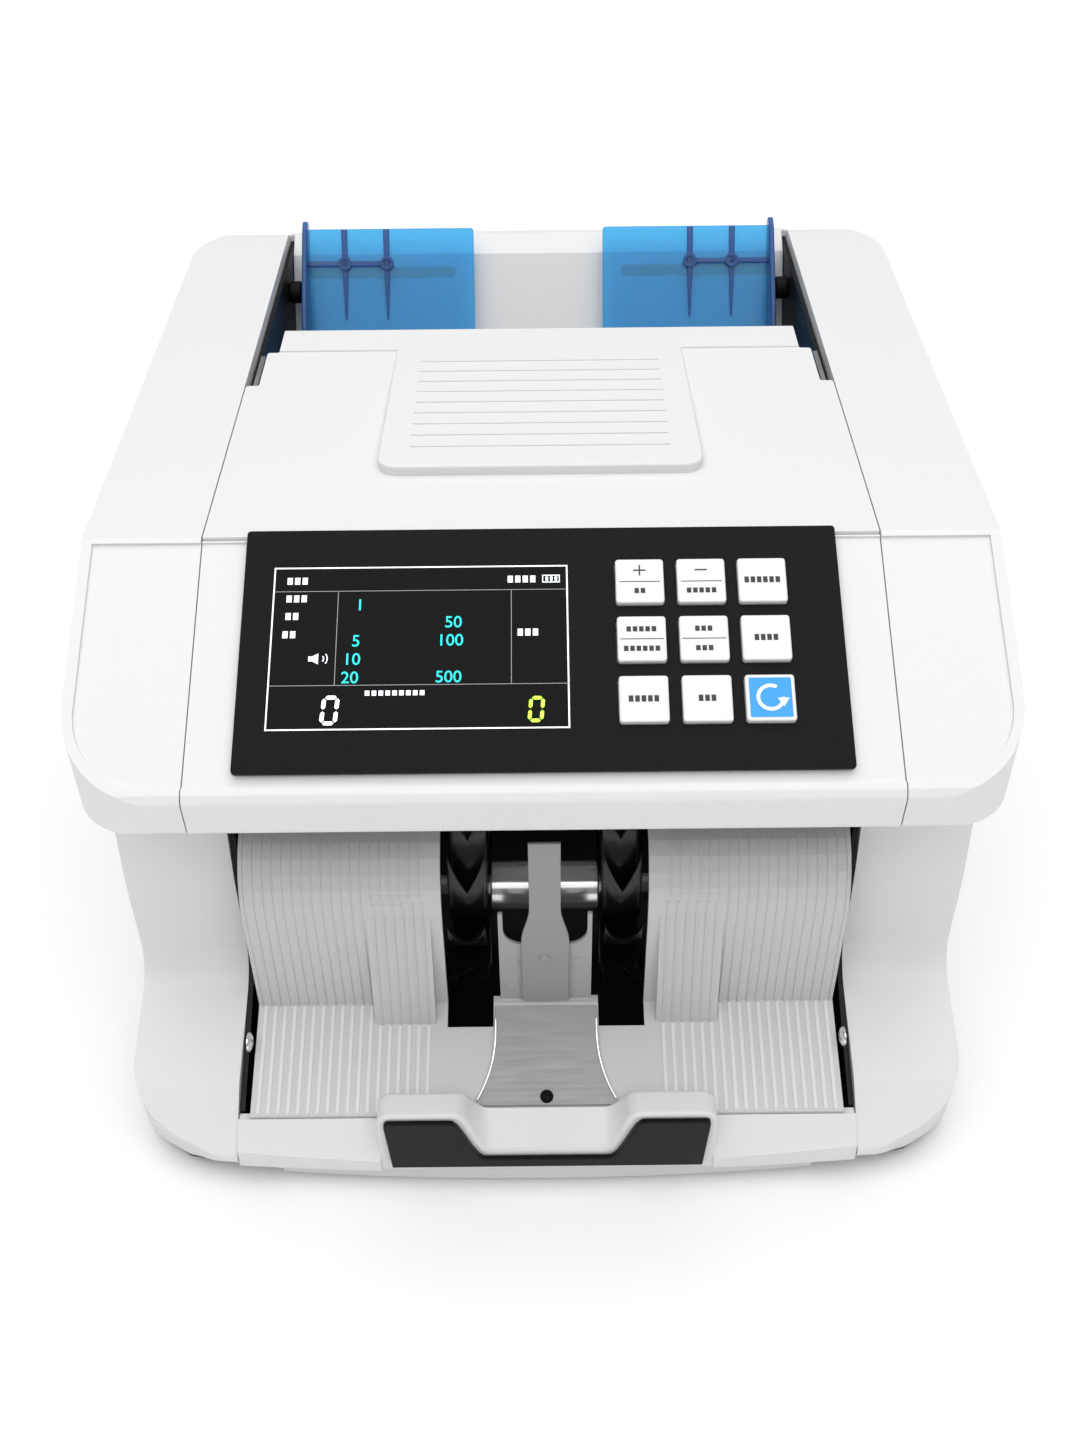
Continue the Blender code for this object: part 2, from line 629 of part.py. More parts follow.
def hopper_guides():
    def spot(drop, rise):
        return along_slope(HOPPER_TOP, HOPPER_SLOPE, -drop, rise)

    plate = [spot(-9.0, GUIDE_STAND), spot(GUIDE_LENGTH, GUIDE_STAND),
             spot(GUIDE_LENGTH, GUIDE_STAND + 2.4), spot(-9.0, GUIDE_STAND + 2.4)]
    wall = [spot(-12.0, 5.0), spot(GUIDE_LENGTH, 5.0), spot(GUIDE_LENGTH, 26.0), spot(25.0, 20.2),
            spot(-8.0, 12.0), spot(-12.0, 9.5)]
    for side, word in ((-1, "left"), (1, "right")):
        guide = slab("hopper_guide_" + word, wall, "X",
                     sided(side, (GUIDE_OUTER - 2.2, GUIDE_OUTER)), CLEAR_BLUE)
        sheet = slab("guide_sheet_" + word, plate, "X",
                     sided(side, (GUIDE_INNER, GUIDE_OUTER - 1.0)))
        shank = rounded_box(sided(side, (60.0, 68.0)), (-9.2, -5.8), 0.5, 1)
        stem = slab("guide_stem_" + word, shank, "Z", (-7.7, GUIDE_STAND + 1.0), place=HOPPER)
        join(guide, sheet, stem)
        slab("guide_rack_" + word, rack_outline(side), "Z", (-11.0, -8.0), GREY_ABS, place=HOPPER)
    wheel = slab("guide_pinion", pinion_outline(), "Z", (-11.0, -8.0), GREY_ABS, place=HOPPER)
    cut(wheel, slab("pinion_bore", arc((0.0, -PINION_DROP), 2.5, 0, 345, 23), "Z", (-14.0, -5.0),
                    place=HOPPER))


# ---------------------------------------------------------------- top cover

def top_cover():
    slope = (TOP - 0.2 - RIDGE[1]) / (REAR - RIDGE[0])

    def surface(y, rise=0.0):
        return (y, RIDGE[1] + slope * (y - RIDGE[0]) + rise)

    start = RIDGE[0] + 0.4
    profile = [surface(start), surface(start, -8.5), surface(71.0, -9.5), surface(71.0)]
    cover = slab("top_cover", profile[::-1], "X", (-SEAM + 0.2, SEAM - 0.2), WHITE_ABS)
    inner = [surface(start + 2.5, -2.5), surface(start + 2.5, -20.0), surface(68.5, -20.0),
             surface(68.5, -2.5)]
    cut(cover, slab("cover_inside", inner, "X", (-97.0, 97.0)))
    pad = [surface(-28.2, -1.0), surface(-28.0, 3.4), surface(55.0, 0.8), surface(71.0, 0.8),
           surface(71.0, -1.0)]
    strip = [surface(55.0, -1.0), surface(55.0, 0.7), surface(70.8, 0.7), surface(70.8, -1.0)]
    join(cover, slab("grip_pad", pad, "X", (-53.5, 53.5)))
    join(cover, slab("rear_strip", strip, "X", (-96.9, 96.9)))
    for side, word in ((-1, "left"), (1, "right")):
        cut(cover, block("notch_" + word, sided(side, (101.2, 110.0)), (31.0, 80.0),
                         (180.0, 230.0)))
        cut(cover, block("strip_end_" + word, sided(side, (97.0, 110.0)), (55.0, 80.0),
                         (180.0, 230.0)))
        arm = block("pinch_arm_" + word, sided(side, (92.0, 96.0)), (-14.0, 2.0), (147.0, 206.0))
        join(cover, arm)
        cut(cover, rod("pinch_hole_" + word, sided(side, (90.0, 99.0)), PINCH_AXIS, 3.0 + RUNNING))


def pinch_shaft():
    profile = [(-98.0, 0), (-98.0, 3.0)]
    for middle in (-62.0, 0.0, 62.0):
        profile += [(middle - 12.0, 3.0), (middle - 12.0, PINCH_RADIUS),
                    (middle + 12.0, PINCH_RADIUS), (middle + 12.0, 3.0)]
    profile += [(98.0, 3.0), (98.0, 0)]
    turned("pinch_shaft", profile, PINCH_AXIS, GREY_ABS)


def front_panel():
    def spot(distance, rise):
        return along_slope(LIP_TOP, PANEL_SLOPE, distance, rise)

    profile = [LIP_TOP, (-136.2, 158.0), LIP_LOW, (-127.0, 143.0), spot(5.5, -9.0),
               (RIDGE[0], RIDGE[1] - 10.4), RIDGE]
    panel = slab("front_panel", profile, "X", (-SEAM + 0.2, SEAM - 0.2), WHITE_ABS)
    end = RIDGE[0] - SHELL
    hollow = [spot(6.0, -2.5), (end, RIDGE[1] - 4.4), (end, RIDGE[1] - 18.0), spot(6.0, -15.0)]
    cut(panel, slab("panel_inside", hollow[::-1], "X", (-102.8, 102.8)))
    bezel = slab("panel_bezel", rounded_box((-BEZEL_HALF, BEZEL_HALF), BEZEL_SPAN, 1.0, 2), "Z",
                 (GAP, BEZEL_RISE), GLOSS_BLACK, place=PANEL)
    cut(bezel, slab("screen_room", rounded_box((SCREEN_X[0] - GAP, SCREEN_X[1] + GAP),
                                               (SCREEN_SPAN[0] - GAP, SCREEN_SPAN[1] + GAP),
                                               0.5, 1), "Z", (-0.2, 3.0), place=PANEL))
    slab("display_screen", rounded_box(SCREEN_X, SCREEN_SPAN, 0.5, 1), "Z", (GAP, BEZEL_RISE),
         GLOSS_BLACK, place=PANEL)
    half = KEY_SIZE / 2
    for names, along in zip(KEY_NAMES, KEY_ROWS):
        for name, across in zip(names, KEY_COLUMNS):
            room = rounded_box((across - half - GAP, across + half + GAP),
                               (along - half - GAP, along + half + GAP), 0.9, 1)
            hole = slab(name + "_hole", room, "Z", (-6.0, 4.0), place=PANEL)
            cut(bezel, hole)
            cut(panel, hole)
            cap = rounded_box((across - half, across + half), (along - half, along + half), 0.8, 2)
            slab(name, cap, "Z", (-2.3, KEY_RISE), WHITE_ABS, place=PANEL)
    for side, word in ((-1, "left"), (1, "right")):
        ear = slab("hinge_ear_" + word, [(-123.0, 149.5), (-113.0, 149.5), spot(20.0, -1.0),
                                         spot(8.5, -1.0)], "X", sided(side, (95.0, 99.0)))
        join(panel, ear)
        cut(panel, rod("ear_hole_" + word, sided(side, (90.0, 102.0)), HINGE_AXIS,
                       3.0 + RUNNING))
    rod("hinge_rod", (-105.9, 105.9), HINGE_AXIS, 3.0, STAINLESS)


clear_scene()
PARTS = new_collection("banknote_counter")
CUTTERS = new_collection("cutters")
WHITE_ABS = new_material("white_abs", WHITE, 0.45)
GREY_ABS = new_material("grey_abs", GREY, 0.5)
GLOSS_BLACK = new_material("gloss_black", BLACK, 0.15)
BLACK_STEEL = new_material("black_steel", BLACK, 0.4, 1.0)
BLACK_RUBBER = new_material("black_rubber", BLACK, 0.3)
RUBBER = new_material("rubber", BLACK, 0.8)
CLEAR_BLUE = new_material("clear_blue", BLUE, 0.15)
STAINLESS = new_material("stainless", STEEL, 0.3, 1.0)
CHROME = new_material("chrome", STEEL, 0.08, 1.0)
CIRCUIT = new_material("circuit", GREEN, 0.4)

side_covers()
rear_cover()
bottom()
front_base()
pocket()
side_frames()
drive()
electrics()
hopper_floor()
hopper_guides()
top_cover()
pinch_shaft()
front_panel()
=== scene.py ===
"""The looks of a front-stacking banknote counter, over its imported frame.

Sizes are in millimetres, in the frame of the solids; MM turns them into metres.
"""

import math

import bmesh
import bpy
from mathutils import Matrix, Vector


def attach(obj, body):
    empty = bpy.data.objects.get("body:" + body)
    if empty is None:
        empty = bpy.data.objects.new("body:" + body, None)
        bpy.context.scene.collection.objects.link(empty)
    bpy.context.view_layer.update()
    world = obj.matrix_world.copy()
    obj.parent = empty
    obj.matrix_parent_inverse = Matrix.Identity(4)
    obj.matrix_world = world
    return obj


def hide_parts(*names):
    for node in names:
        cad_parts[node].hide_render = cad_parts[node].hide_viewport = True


MM = 0.001
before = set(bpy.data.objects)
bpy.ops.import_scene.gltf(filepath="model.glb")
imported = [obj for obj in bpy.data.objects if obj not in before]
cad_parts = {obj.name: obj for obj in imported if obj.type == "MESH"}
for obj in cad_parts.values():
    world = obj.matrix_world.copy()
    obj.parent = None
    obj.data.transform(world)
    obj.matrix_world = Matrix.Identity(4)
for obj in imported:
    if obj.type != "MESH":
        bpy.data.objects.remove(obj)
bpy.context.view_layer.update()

# Casing lines, (y, z), as the solids have them.
HALF_WIDTH = 143.6
SEAM = 106.0
REAR = 162.0
TOP = 221.0
RIDGE = (-62.0, 203.0)
LIP_TOP = (-134.0, 160.6)
LIP_LOW = (-135.4, 145.0)
PANEL_SLOPE = math.atan2(RIDGE[1] - LIP_TOP[1], RIDGE[0] - LIP_TOP[0])
TOP_RISE = (TOP - 0.2 - RIDGE[1]) / (REAR - RIDGE[0])
SEAM_GAP = 0.25
LIP_FACE = -136.4
FOOT_FACE = -158.2
LIP_CORNER = (28.0, 27.0)
FOOT_CORNER = (37.2, 27.0)
REAR_CORNER = (26.0, 26.0)

# Finger dip in the front lip: its flat half-width, the width of its sides, and the lip's bow.
DIP_HALF = 19.5
DIP_SIDE = 10.0
LIP_BOW = 3.52e-4

# Pocket.
POCKET_HALF = 101.7
FLOOR_FRONT = (-149.2, 26.2)
FLOOR_SLOPE = math.atan2(16.0, 35.5)
STACKER_AXIS = (-79.0, 66.0)
STACKER_RADIUS = 38.5
RIB_HALF = 0.3
FLOOR_RIB_HALF = 0.6

# Hopper.
HOPPER_TOP = (150.0, 214.0)
HOPPER_SLOPE = math.radians(60.0)
GUIDE_STAND = 6.5
GUIDE_INNER = 27.0
GUIDE_OUTER = 98.2
GUIDE_CROSS = -5.2
GUIDE_RIBS = (63.5, 81.0)

# Display and keys, in the panel's own frame: across, up the slope, above it.
BEZEL_RISE = 1.5
KEY_RISE = 3.4
SCREEN_X = (-82.2, 8.0)
SCREEN_SPAN = (18.4, 72.1)
KEY_COLUMNS = (30.0, 48.8, 67.5)
KEY_ROWS = (65.6, 46.3, 26.8)
KEY_NAMES = (
    ("key_plus", "key_minus", "key_batch"),
    ("key_auto", "key_detect", "key_add"),
    ("key_function", "key_uv", "key_restart"),
)


# ---------------------------------------------------------------- materials

def material(name, colour, roughness, metallic=0.0, **sockets):
    made = bpy.data.materials.new(name)
    made.use_nodes = True
    shader = made.node_tree.nodes["Principled BSDF"]
    shader.inputs["Base Color"].default_value = (*colour, 1.0)
    shader.inputs["Roughness"].default_value = roughness
    shader.inputs["Metallic"].default_value = metallic
    for key, value in sockets.items():
        shader.inputs[key.replace("_", " ")].default_value = value
    return made


def add_node(made, kind, **settings):
    node = made.node_tree.nodes.new(kind)
    for key, value in settings.items():
        node.inputs[key.replace("_", " ")].default_value = value
    return node


def grain(made, scale, strength, distance=0.0002, stretch=(1.0, 1.0, 1.0), detail=4.0):
    """Bump from noise; scale is in waves per metre along each object axis."""
    tree = made.node_tree
    place = add_node(made, "ShaderNodeTexCoord")
    size = add_node(made, "ShaderNodeMapping", Scale=stretch)
    noise = add_node(made, "ShaderNodeTexNoise", Scale=scale, Detail=detail)
    bump = add_node(made, "ShaderNodeBump", Strength=strength, Distance=distance)
    tree.links.new(place.outputs["Object"], size.inputs["Vector"])
    tree.links.new(size.outputs["Vector"], noise.inputs["Vector"])
    tree.links.new(noise.outputs["Fac"], bump.inputs["Height"])
    tree.links.new(bump.outputs["Normal"], tree.nodes["Principled BSDF"].inputs["Normal"])
    return noise


def vary(made, noise, socket, low, high):
    """Lets the noise take a socket between two values."""
    tree = made.node_tree
    ramp = add_node(made, "ShaderNodeValToRGB")
    ramp.color_ramp.elements[0].position = 0.3
    ramp.color_ramp.elements[1].position = 0.7
    ramp.color_ramp.elements[0].color = low
    ramp.color_ramp.elements[1].color = high
    tree.links.new(noise.outputs["Fac"], ramp.inputs["Fac"])
    tree.links.new(ramp.outputs["Color"], tree.nodes["Principled BSDF"].inputs[socket])


def grey(value):
    return (value, value, value, 1.0)


def textured_white(name, tone, bump):
    made = material(name, (tone, tone, tone), 0.42)
    noise = grain(made, 900.0, bump)
    vary(made, noise, "Base Color", grey(tone * 0.985), grey(tone))
    vary(made, noise, "Roughness", grey(0.5), grey(0.4))
    return made


def brushed(name, tone, roughness, stretch, metallic=1.0):
    made = material(name, (tone, tone, tone * 1.01), roughness, metallic)
    noise = grain(made, 60.0, 0.12, 0.0001, stretch)
    vary(made, noise, "Roughness", grey(roughness * 0.8), grey(roughness * 1.25))
    return made


def dark(name, tone, roughness, scale=700.0, bump=0.1, specular=0.5):
    made = material(name, (tone, tone, tone * 1.05), roughness, Specular_IOR_Level=specular)
    noise = grain(made, scale, bump)
    vary(made, noise, "Roughness", grey(roughness * 0.85), grey(roughness * 1.15))
    return made


def translucent_blue(name, colour, transmission):
    made = material(name, colour, 0.16, IOR=1.45, Transmission_Weight=transmission)
    grain(made, 120.0, 0.06)
    return made


def glowing(name, colour, strength):
    return material(name, colour, 0.4, Emission_Color=(*colour, 1.0), Emission_Strength=strength)


WHITE = textured_white("white_abs_fine", 0.75, 0.10)
LINER = textured_white("white_abs_liner", 0.60, 0.04)
# Floor ribs: the liner's own plastic, given a lighter white than LINER as a painted highlight on
# the rib tops.
RIB_PAINTED_HIGHLIGHT = textured_white("white_abs_ribs_painted_highlight", 0.74, 0.03)
KEY_WHITE = textured_white("key_white", 0.80, 0.03)
GREY = textured_white("grey_abs_satin", 0.42, 0.05)
PALE_GREY = textured_white("grey_abs_pale", 0.66, 0.04)
BAR_GREY = textured_white("grey_abs_bar", 0.33, 0.04)
BEZEL = dark("bezel_black", 0.006, 0.55, 1500.0, 0.05, 0.1)
GLOSS = dark("gloss_black", 0.003, 0.14, 300.0, 0.01, 0.08)
INSERT = dark("insert_black", 0.006, 0.34, 1200.0, 0.05, 0.15)
STEEL_BLACK = dark("black_steel", 0.007, 0.45, specular=0.2)
WHEEL = dark("wheel_black", 0.006, 0.22, 400.0, 0.05)
RUBBER = dark("rubber_matte", 0.02, 0.75)
PLATE = brushed("stainless_plate", 0.36, 0.55, (1.0, 12.0, 12.0), 0.3)
SATIN_STEEL = brushed("satin_steel", 0.5, 0.3, (12.0, 1.0, 1.0))
# Polished chrome with metallic held at 0.8 over a near-white base: partly real polish, partly a
# white diffuse share that stands in as a painted reflection of the light above.
CHROME_PAINTED_SHEEN = brushed("chrome_polished_painted_sheen", 0.85, 0.16, (1.0, 8.0, 8.0), 0.8)
BLUE = translucent_blue("guide_blue", (0.06, 0.56, 1.0), 0.75)
DEEP_BLUE = translucent_blue("guide_blue_deep", (0.0, 0.11, 0.40), 0.5)
CIRCUIT = material("circuit_green", (0.01, 0.16, 0.05), 0.4)
grain(CIRCUIT, 700.0, 0.1)
RULE_GREY = material("rule_grey", (0.35, 0.37, 0.4), 0.4)
LINE_WHITE = glowing("screen_white", (0.75, 0.78, 0.82), 0.7)
DIGIT_CYAN = glowing("screen_cyan", (0.0, 0.55, 0.55), 0.9)
DIGIT_GREEN = glowing("screen_green", (0.45, 0.9, 0.05), 1.0)
DIGIT_WHITE = glowing("screen_bright", (0.85, 0.92, 1.0), 1.2)
INK = dark("key_ink", 0.02, 0.5)
KEY_BLUE = material("key_blue", (0.02, 0.33, 0.78), 0.35)
KEY_MARK = material("key_mark", (0.9, 0.92, 0.95), 0.35)


# ---------------------------------------------------------------- mesh tools

def finish_piece(obj, made, body, replaces=()):
    """Gives a piece its material, body, slot and the solids that it stands for."""
    obj.data.materials.clear()
    obj.data.materials.append(made)
    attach(obj, body)
    if replaces:
        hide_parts(*replaces)
    return obj


def link(name, mesh):
    obj = bpy.data.objects.new(name, mesh)
    bpy.context.scene.collection.objects.link(obj)
    return obj


def arc(centre, radius, start, end, steps):
    points = []
    for step in range(steps + 1):
        turn = math.radians(start + (end - start) * step / steps)
        points.append((centre[0] + radius * math.cos(turn), centre[1] + radius * math.sin(turn)))
    return points


def fillet(corners, steps=5):
    """An outline with round corners, from (across, along, radius)."""
    points = []
    count = len(corners)
    for index, (a, b, radius) in enumerate(corners):
        here = Vector((a, b))
        if radius <= 0:
            points.append((a, b))
            continue
        before = Vector(corners[index - 1][:2]) - here
        after = Vector(corners[(index + 1) % count][:2]) - here
        half = before.angle(after) / 2
        reach = min(radius / math.tan(half), before.length * 0.49, after.length * 0.49)
        first = here + before.normalized() * reach
        last = here + after.normalized() * reach
        for step in range(steps + 1):
            t = step / steps
            spot = first * (1 - t) ** 2 + here * 2 * t * (1 - t) + last * t * t
            points.append((spot.x, spot.y))
    return points


def rounded_box(x, y, radius, steps=6):
    points = arc((x[1] - radius, y[1] - radius), radius, 0, 90, steps)
    points += arc((x[0] + radius, y[1] - radius), radius, 90, 180, steps)
    points += arc((x[0] + radius, y[0] + radius), radius, 180, 270, steps)
    points += arc((x[1] - radius, y[0] + radius), radius, 270, 360, steps)
    return points


FACING = {
    "X": Matrix(((0, 0, 1), (1, 0, 0), (0, 1, 0))).to_4x4(),
    "Y": Matrix(((1, 0, 0), (0, 0, -1), (0, 1, 0))).to_4x4(),
    "Z": Matrix.Identity(4),
}


def placed(origin, slope=0.0):
    return Matrix.Translation(Vector(origin) * MM) @ Matrix.Rotation(slope, 4, "X")


PANEL = placed((0.0, *LIP_TOP), PANEL_SLOPE)
HOPPER = placed((0.0, *HOPPER_TOP), HOPPER_SLOPE)
FLOOR = placed((0.0, *FLOOR_FRONT), FLOOR_SLOPE)


def slab(name, outline, axis, span, place=None):
    """A flat outline extruded along an axis between two limits, as a mesh in world space."""
    bm = bmesh.new()
    verts = [bm.verts.new((a * MM, b * MM, span[0] * MM * (-1 if axis == "Y" else 1)))
             for a, b in outline]
    face = bm.faces.new(verts)
    lift = (span[1] - span[0]) * MM * (-1 if axis == "Y" else 1)
    made = bmesh.ops.extrude_face_region(bm, geom=[face])
    moved = [part for part in made["geom"] if isinstance(part, bmesh.types.BMVert)]
    bmesh.ops.translate(bm, verts=moved, vec=(0.0, 0.0, lift))
    bmesh.ops.recalc_face_normals(bm, faces=bm.faces)
    bm.transform((place or Matrix.Identity(4)) @ FACING[axis])
    mesh = bpy.data.meshes.new(name)
    bm.to_mesh(mesh)
    bm.free()
    return link(name, mesh)


def block(name, x, y, z):
    outline = [(x[0], y[0]), (x[1], y[0]), (x[1], y[1]), (x[0], y[1])]
    return slab(name, outline, "Z", z)


def circle(centre, radius, sides):
    return [(centre[0] + radius * math.cos(math.tau * step / sides),
             centre[1] + radius * math.sin(math.tau * step / sides)) for step in range(sides)]


def rod(name, x, axis, radius, sides=48):
    """A cylinder along X."""
    return slab(name, circle(axis, radius, sides), "X", x)


def rod_y(name, centre, radius, y, sides=32):
    """A cylinder along Y."""
    return slab(name, circle(centre, radius, sides), "Y", y)


def smooth_step(t):
    t = max(0.0, min(1.0, t))
    return t * t * (3 - 2 * t)


def plain(points):
    """Outline points with no rounding, for fillet."""
    return [(a, b, 0.0) for a, b in points]


def shaped(target, cuts=(), joins=(), bevel=0.0, segments=3, angle=28):
    """Applies cuts, joins and a bevel to a mesh, and shades it smooth."""
    for other in joins:
        step = target.modifiers.new("join", "BOOLEAN")
        step.operation = "UNION"
        step.object = other
    for other in cuts:
        step = target.modifiers.new("cut", "BOOLEAN")
        step.operation = "DIFFERENCE"
        step.object = other
    if bevel:
        step = target.modifiers.new("edge", "BEVEL")
        step.width = bevel * MM
        step.segments = segments
        step.limit_method = "ANGLE"
        step.angle_limit = math.radians(angle)
    apply_all(target)
    for other in (*cuts, *joins):
        if other.name in bpy.data.objects:
            bpy.data.objects.remove(other, do_unlink=True)
    return target


def bake_modifiers(target):
    bpy.context.view_layer.update()
    graph = bpy.context.evaluated_depsgraph_get()
    target.data = bpy.data.meshes.new_from_object(target.evaluated_get(graph))
    target.modifiers.clear()


def apply_all(target):
    """Applies the modifiers; large faces then stay flat in the shading beside their bevels."""
    bake_modifiers(target)
    normals = target.data.attributes.get("custom_normal")
    if normals:
        target.data.attributes.remove(normals)
    target.data.shade_smooth()
    target.data.set_sharp_from_angle(angle=math.radians(35))
    step = target.modifiers.new("even", "WEIGHTED_NORMAL")
    step.keep_sharp = True
    bake_modifiers(target)


def keep_inside(target, envelope):
    """Keeps what lies inside another mesh, and removes that mesh."""
    step = target.modifiers.new("keep", "BOOLEAN")
    step.operation = "INTERSECT"
    step.object = envelope
    apply_all(target)
    bpy.data.objects.remove(envelope, do_unlink=True)


def along_slope(start, slope, distance, rise=0.0):
    return (
        start[0] + distance * math.cos(slope) - rise * math.sin(slope),
        start[1] + distance * math.sin(slope) + rise * math.cos(slope),
    )


def sided(side, x):
    return (x[0], x[1]) if side > 0 else (-x[1], -x[0])


def merged(name, pieces, made, body):
    bm = bmesh.new()
    for piece in pieces:
        bm.from_mesh(piece.data)
        bpy.data.objects.remove(piece, do_unlink=True)
    mesh = bpy.data.meshes.new(name)
    bm.to_mesh(mesh)
    bm.free()
    return finish_piece(link(name, mesh), made, body)


SIDES = ((-1, "left"), (1, "right"))


def top_surface(y, rise=0.0):
    return (y, RIDGE[1] + TOP_RISE * (y - RIDGE[0]) + rise)


# ---------------------------------------------------------------- casing

def casing_outline():
    corners = [(REAR, 6.0, 2.0), (REAR, TOP, 7.0), (*RIDGE, 5.0), (-134.8, 160.1, 1.8),
               (LIP_FACE, 157.6, 2.2), (*LIP_LOW, 2.5)]
    corners += plain([(-122.0 + 26.3 * a, 110.0 + 33.5 * b)
                      for a, b in arc((0.0, 0.0), 1.0, 84, 4, 16)])
    corners += plain([(-97.6, 98.0), (-98.6, 90.0), (-99.0, 80.0), (-99.0, 67.0)])
    corners += plain(arc((-117.0, 60.0), 18.0, 350, 300, 8))
    corners += [(-139.0, 31.5, 12.0), (-157.8, 15.8, 3.0), (-157.9, 13.0, 1.5),
                (-153.8, 6.0, 2.0)]
    return fillet(corners)


def corner_cutter(name, side, y_face, inward, corner, z):
    """Trims a vertical corner to a quarter ellipse; inward is +1 at the front, -1 behind."""
    across, along = corner
    reach = 4.0
    centre = (side * (HALF_WIDTH - across), y_face + inward * along)
    points = [(centre[0] + side * across * a, centre[1] - inward * along * b)
              for a, b in arc((0.0, 0.0), 1.0, 0, 90, 24)]
    points += [(centre[0], y_face - inward * reach)]
    points += [(side * (HALF_WIDTH + reach), y_face - inward * reach)]
    points += [(side * (HALF_WIDTH + reach), centre[1])]
    return slab(name, points, "Z", z)


def panel_recess(name, side):
    """The sunk field of the sloping front, open at the seam, round at the outer lower corner."""
    edge, low, high, radius = 140.2, 1.4, 82.0, 24.5
    points = [(SEAM - 4.0, low), (edge - radius, low)]
    points += arc((edge - radius, low + radius), radius, 270, 360, 14)
    points += [(edge, high), (SEAM - 4.0, high)]
    points = [(side * a, b) for a, b in points]
    return slab(name, points, "Z", (-1.0, 12.0), PANEL)


def tuck_foot(cover, side):
    """Leans the front foot's round corner inwards towards its bottom edge."""
    centre = Vector((side * (HALF_WIDTH - FOOT_CORNER[0]), FOOT_FACE + FOOT_CORNER[1])) * MM
    for vert in cover.data.vertices:
        x, y, z = vert.co / MM
        if y > -132.0 or z > 26.0 or abs(x) < 110.0:
            continue
        out = Vector(vert.co[:2]) - centre
        turn = math.degrees(math.atan2(-out.y, abs(out.x)))
        lean = 4.5 * smooth_step(turn / 35.0) * (26.0 - z) / 20.0
        lean *= smooth_step((abs(x) - 110) / 16)
        vert.co.xy = centre + out.normalized() * (out.length - lean * MM)


def side_covers():
    hollow = [
        (155.0, 9.0), (155.0, 214.5), (-58.0, 197.5), (-118.0, 162.0), (-122.0, 150.0),
        (-104.0, 139.0), (-92.0, 114.0), (-93.5, 95.0), (-93.5, 60.0), (-98.0, 46.0),
        (-134.0, 27.0), (-134.0, 9.0),
    ]
    for side, word in SIDES:
        cover = slab("side_casing_" + word, casing_outline(), "X",
                     sided(side, (SEAM + SEAM_GAP, HALF_WIDTH)))
        cuts = (
            corner_cutter("c1", side, LIP_FACE, 1, LIP_CORNER, (120.0, 240.0)),
            corner_cutter("c2", side, FOOT_FACE, 1, FOOT_CORNER, (0.0, 60.0)),
            corner_cutter("c3", side, REAR, -1, REAR_CORNER, (0.0, 240.0)),
            slab("c4", hollow, "X", sided(side, (SEAM - 5.0, 125.0))),
            panel_recess("c5", side),
        )
        shaped(cover, cuts)
        tuck_foot(cover, side)
        shaped(cover, bevel=1.8, segments=4)
        finish_piece(cover, WHITE, "base", ["side_cover_" + word])


def front_panel():
    outline = fillet([
        (-134.8, 160.1, 1.8), (LIP_FACE, 157.6, 2.2), (*LIP_LOW, 2.5), (-127.0, 143.0, 1.0),
        (*along_slope(LIP_TOP, PANEL_SLOPE, 5.5, -9.0), 0),
        (RIDGE[0] - 0.2, RIDGE[1] - 10.4, 0), (RIDGE[0] - 0.2, RIDGE[1] - 0.3, 0.8),
    ])
    panel = slab("front_shell", outline, "X", (-SEAM + 0.1, SEAM - 0.1))
    field = slab("f1", [(-110, 1.4), (110, 1.4), (110, 82.0), (-110, 82.0)], "Z",
                 (-1.0, 12.0), PANEL)
    inside = slab("f2", [along_slope(LIP_TOP, PANEL_SLOPE, 6.0, -3.5), (-64.5, 197.6),
                         (-64.5, 185.0), along_slope(LIP_TOP, PANEL_SLOPE, 6.0, -15.0)],
                  "X", (-102.8, 102.8))
    ears = []
    for side, word in SIDES:
        outline = [(-123.0, 149.5), (-113.0, 149.5),
                   along_slope(LIP_TOP, PANEL_SLOPE, 20.0, -2.0),
                   along_slope(LIP_TOP, PANEL_SLOPE, 8.5, -2.0)]
        ears.append(slab("ear_" + word, outline, "X", sided(side, (95.0, 99.0))))
    half = 7.8
    cuts = [field, inside]
    for along in KEY_ROWS:
        for across in KEY_COLUMNS:
            cuts.append(slab("key_room", rounded_box((across - half, across + half),
                                                     (along - half, along + half), 1.0, 2),
                             "Z", (-6.0, 4.0), PANEL))
    cuts.append(rod("hinge_room", (-104.0, 104.0), (-118.0, 154.0), 3.1, 24))
    shaped(panel, cuts[:2], ears, bevel=0.6, segments=2)
    shaped(panel, cuts[2:])
    finish_piece(panel, WHITE, "cover", ["front_panel"])


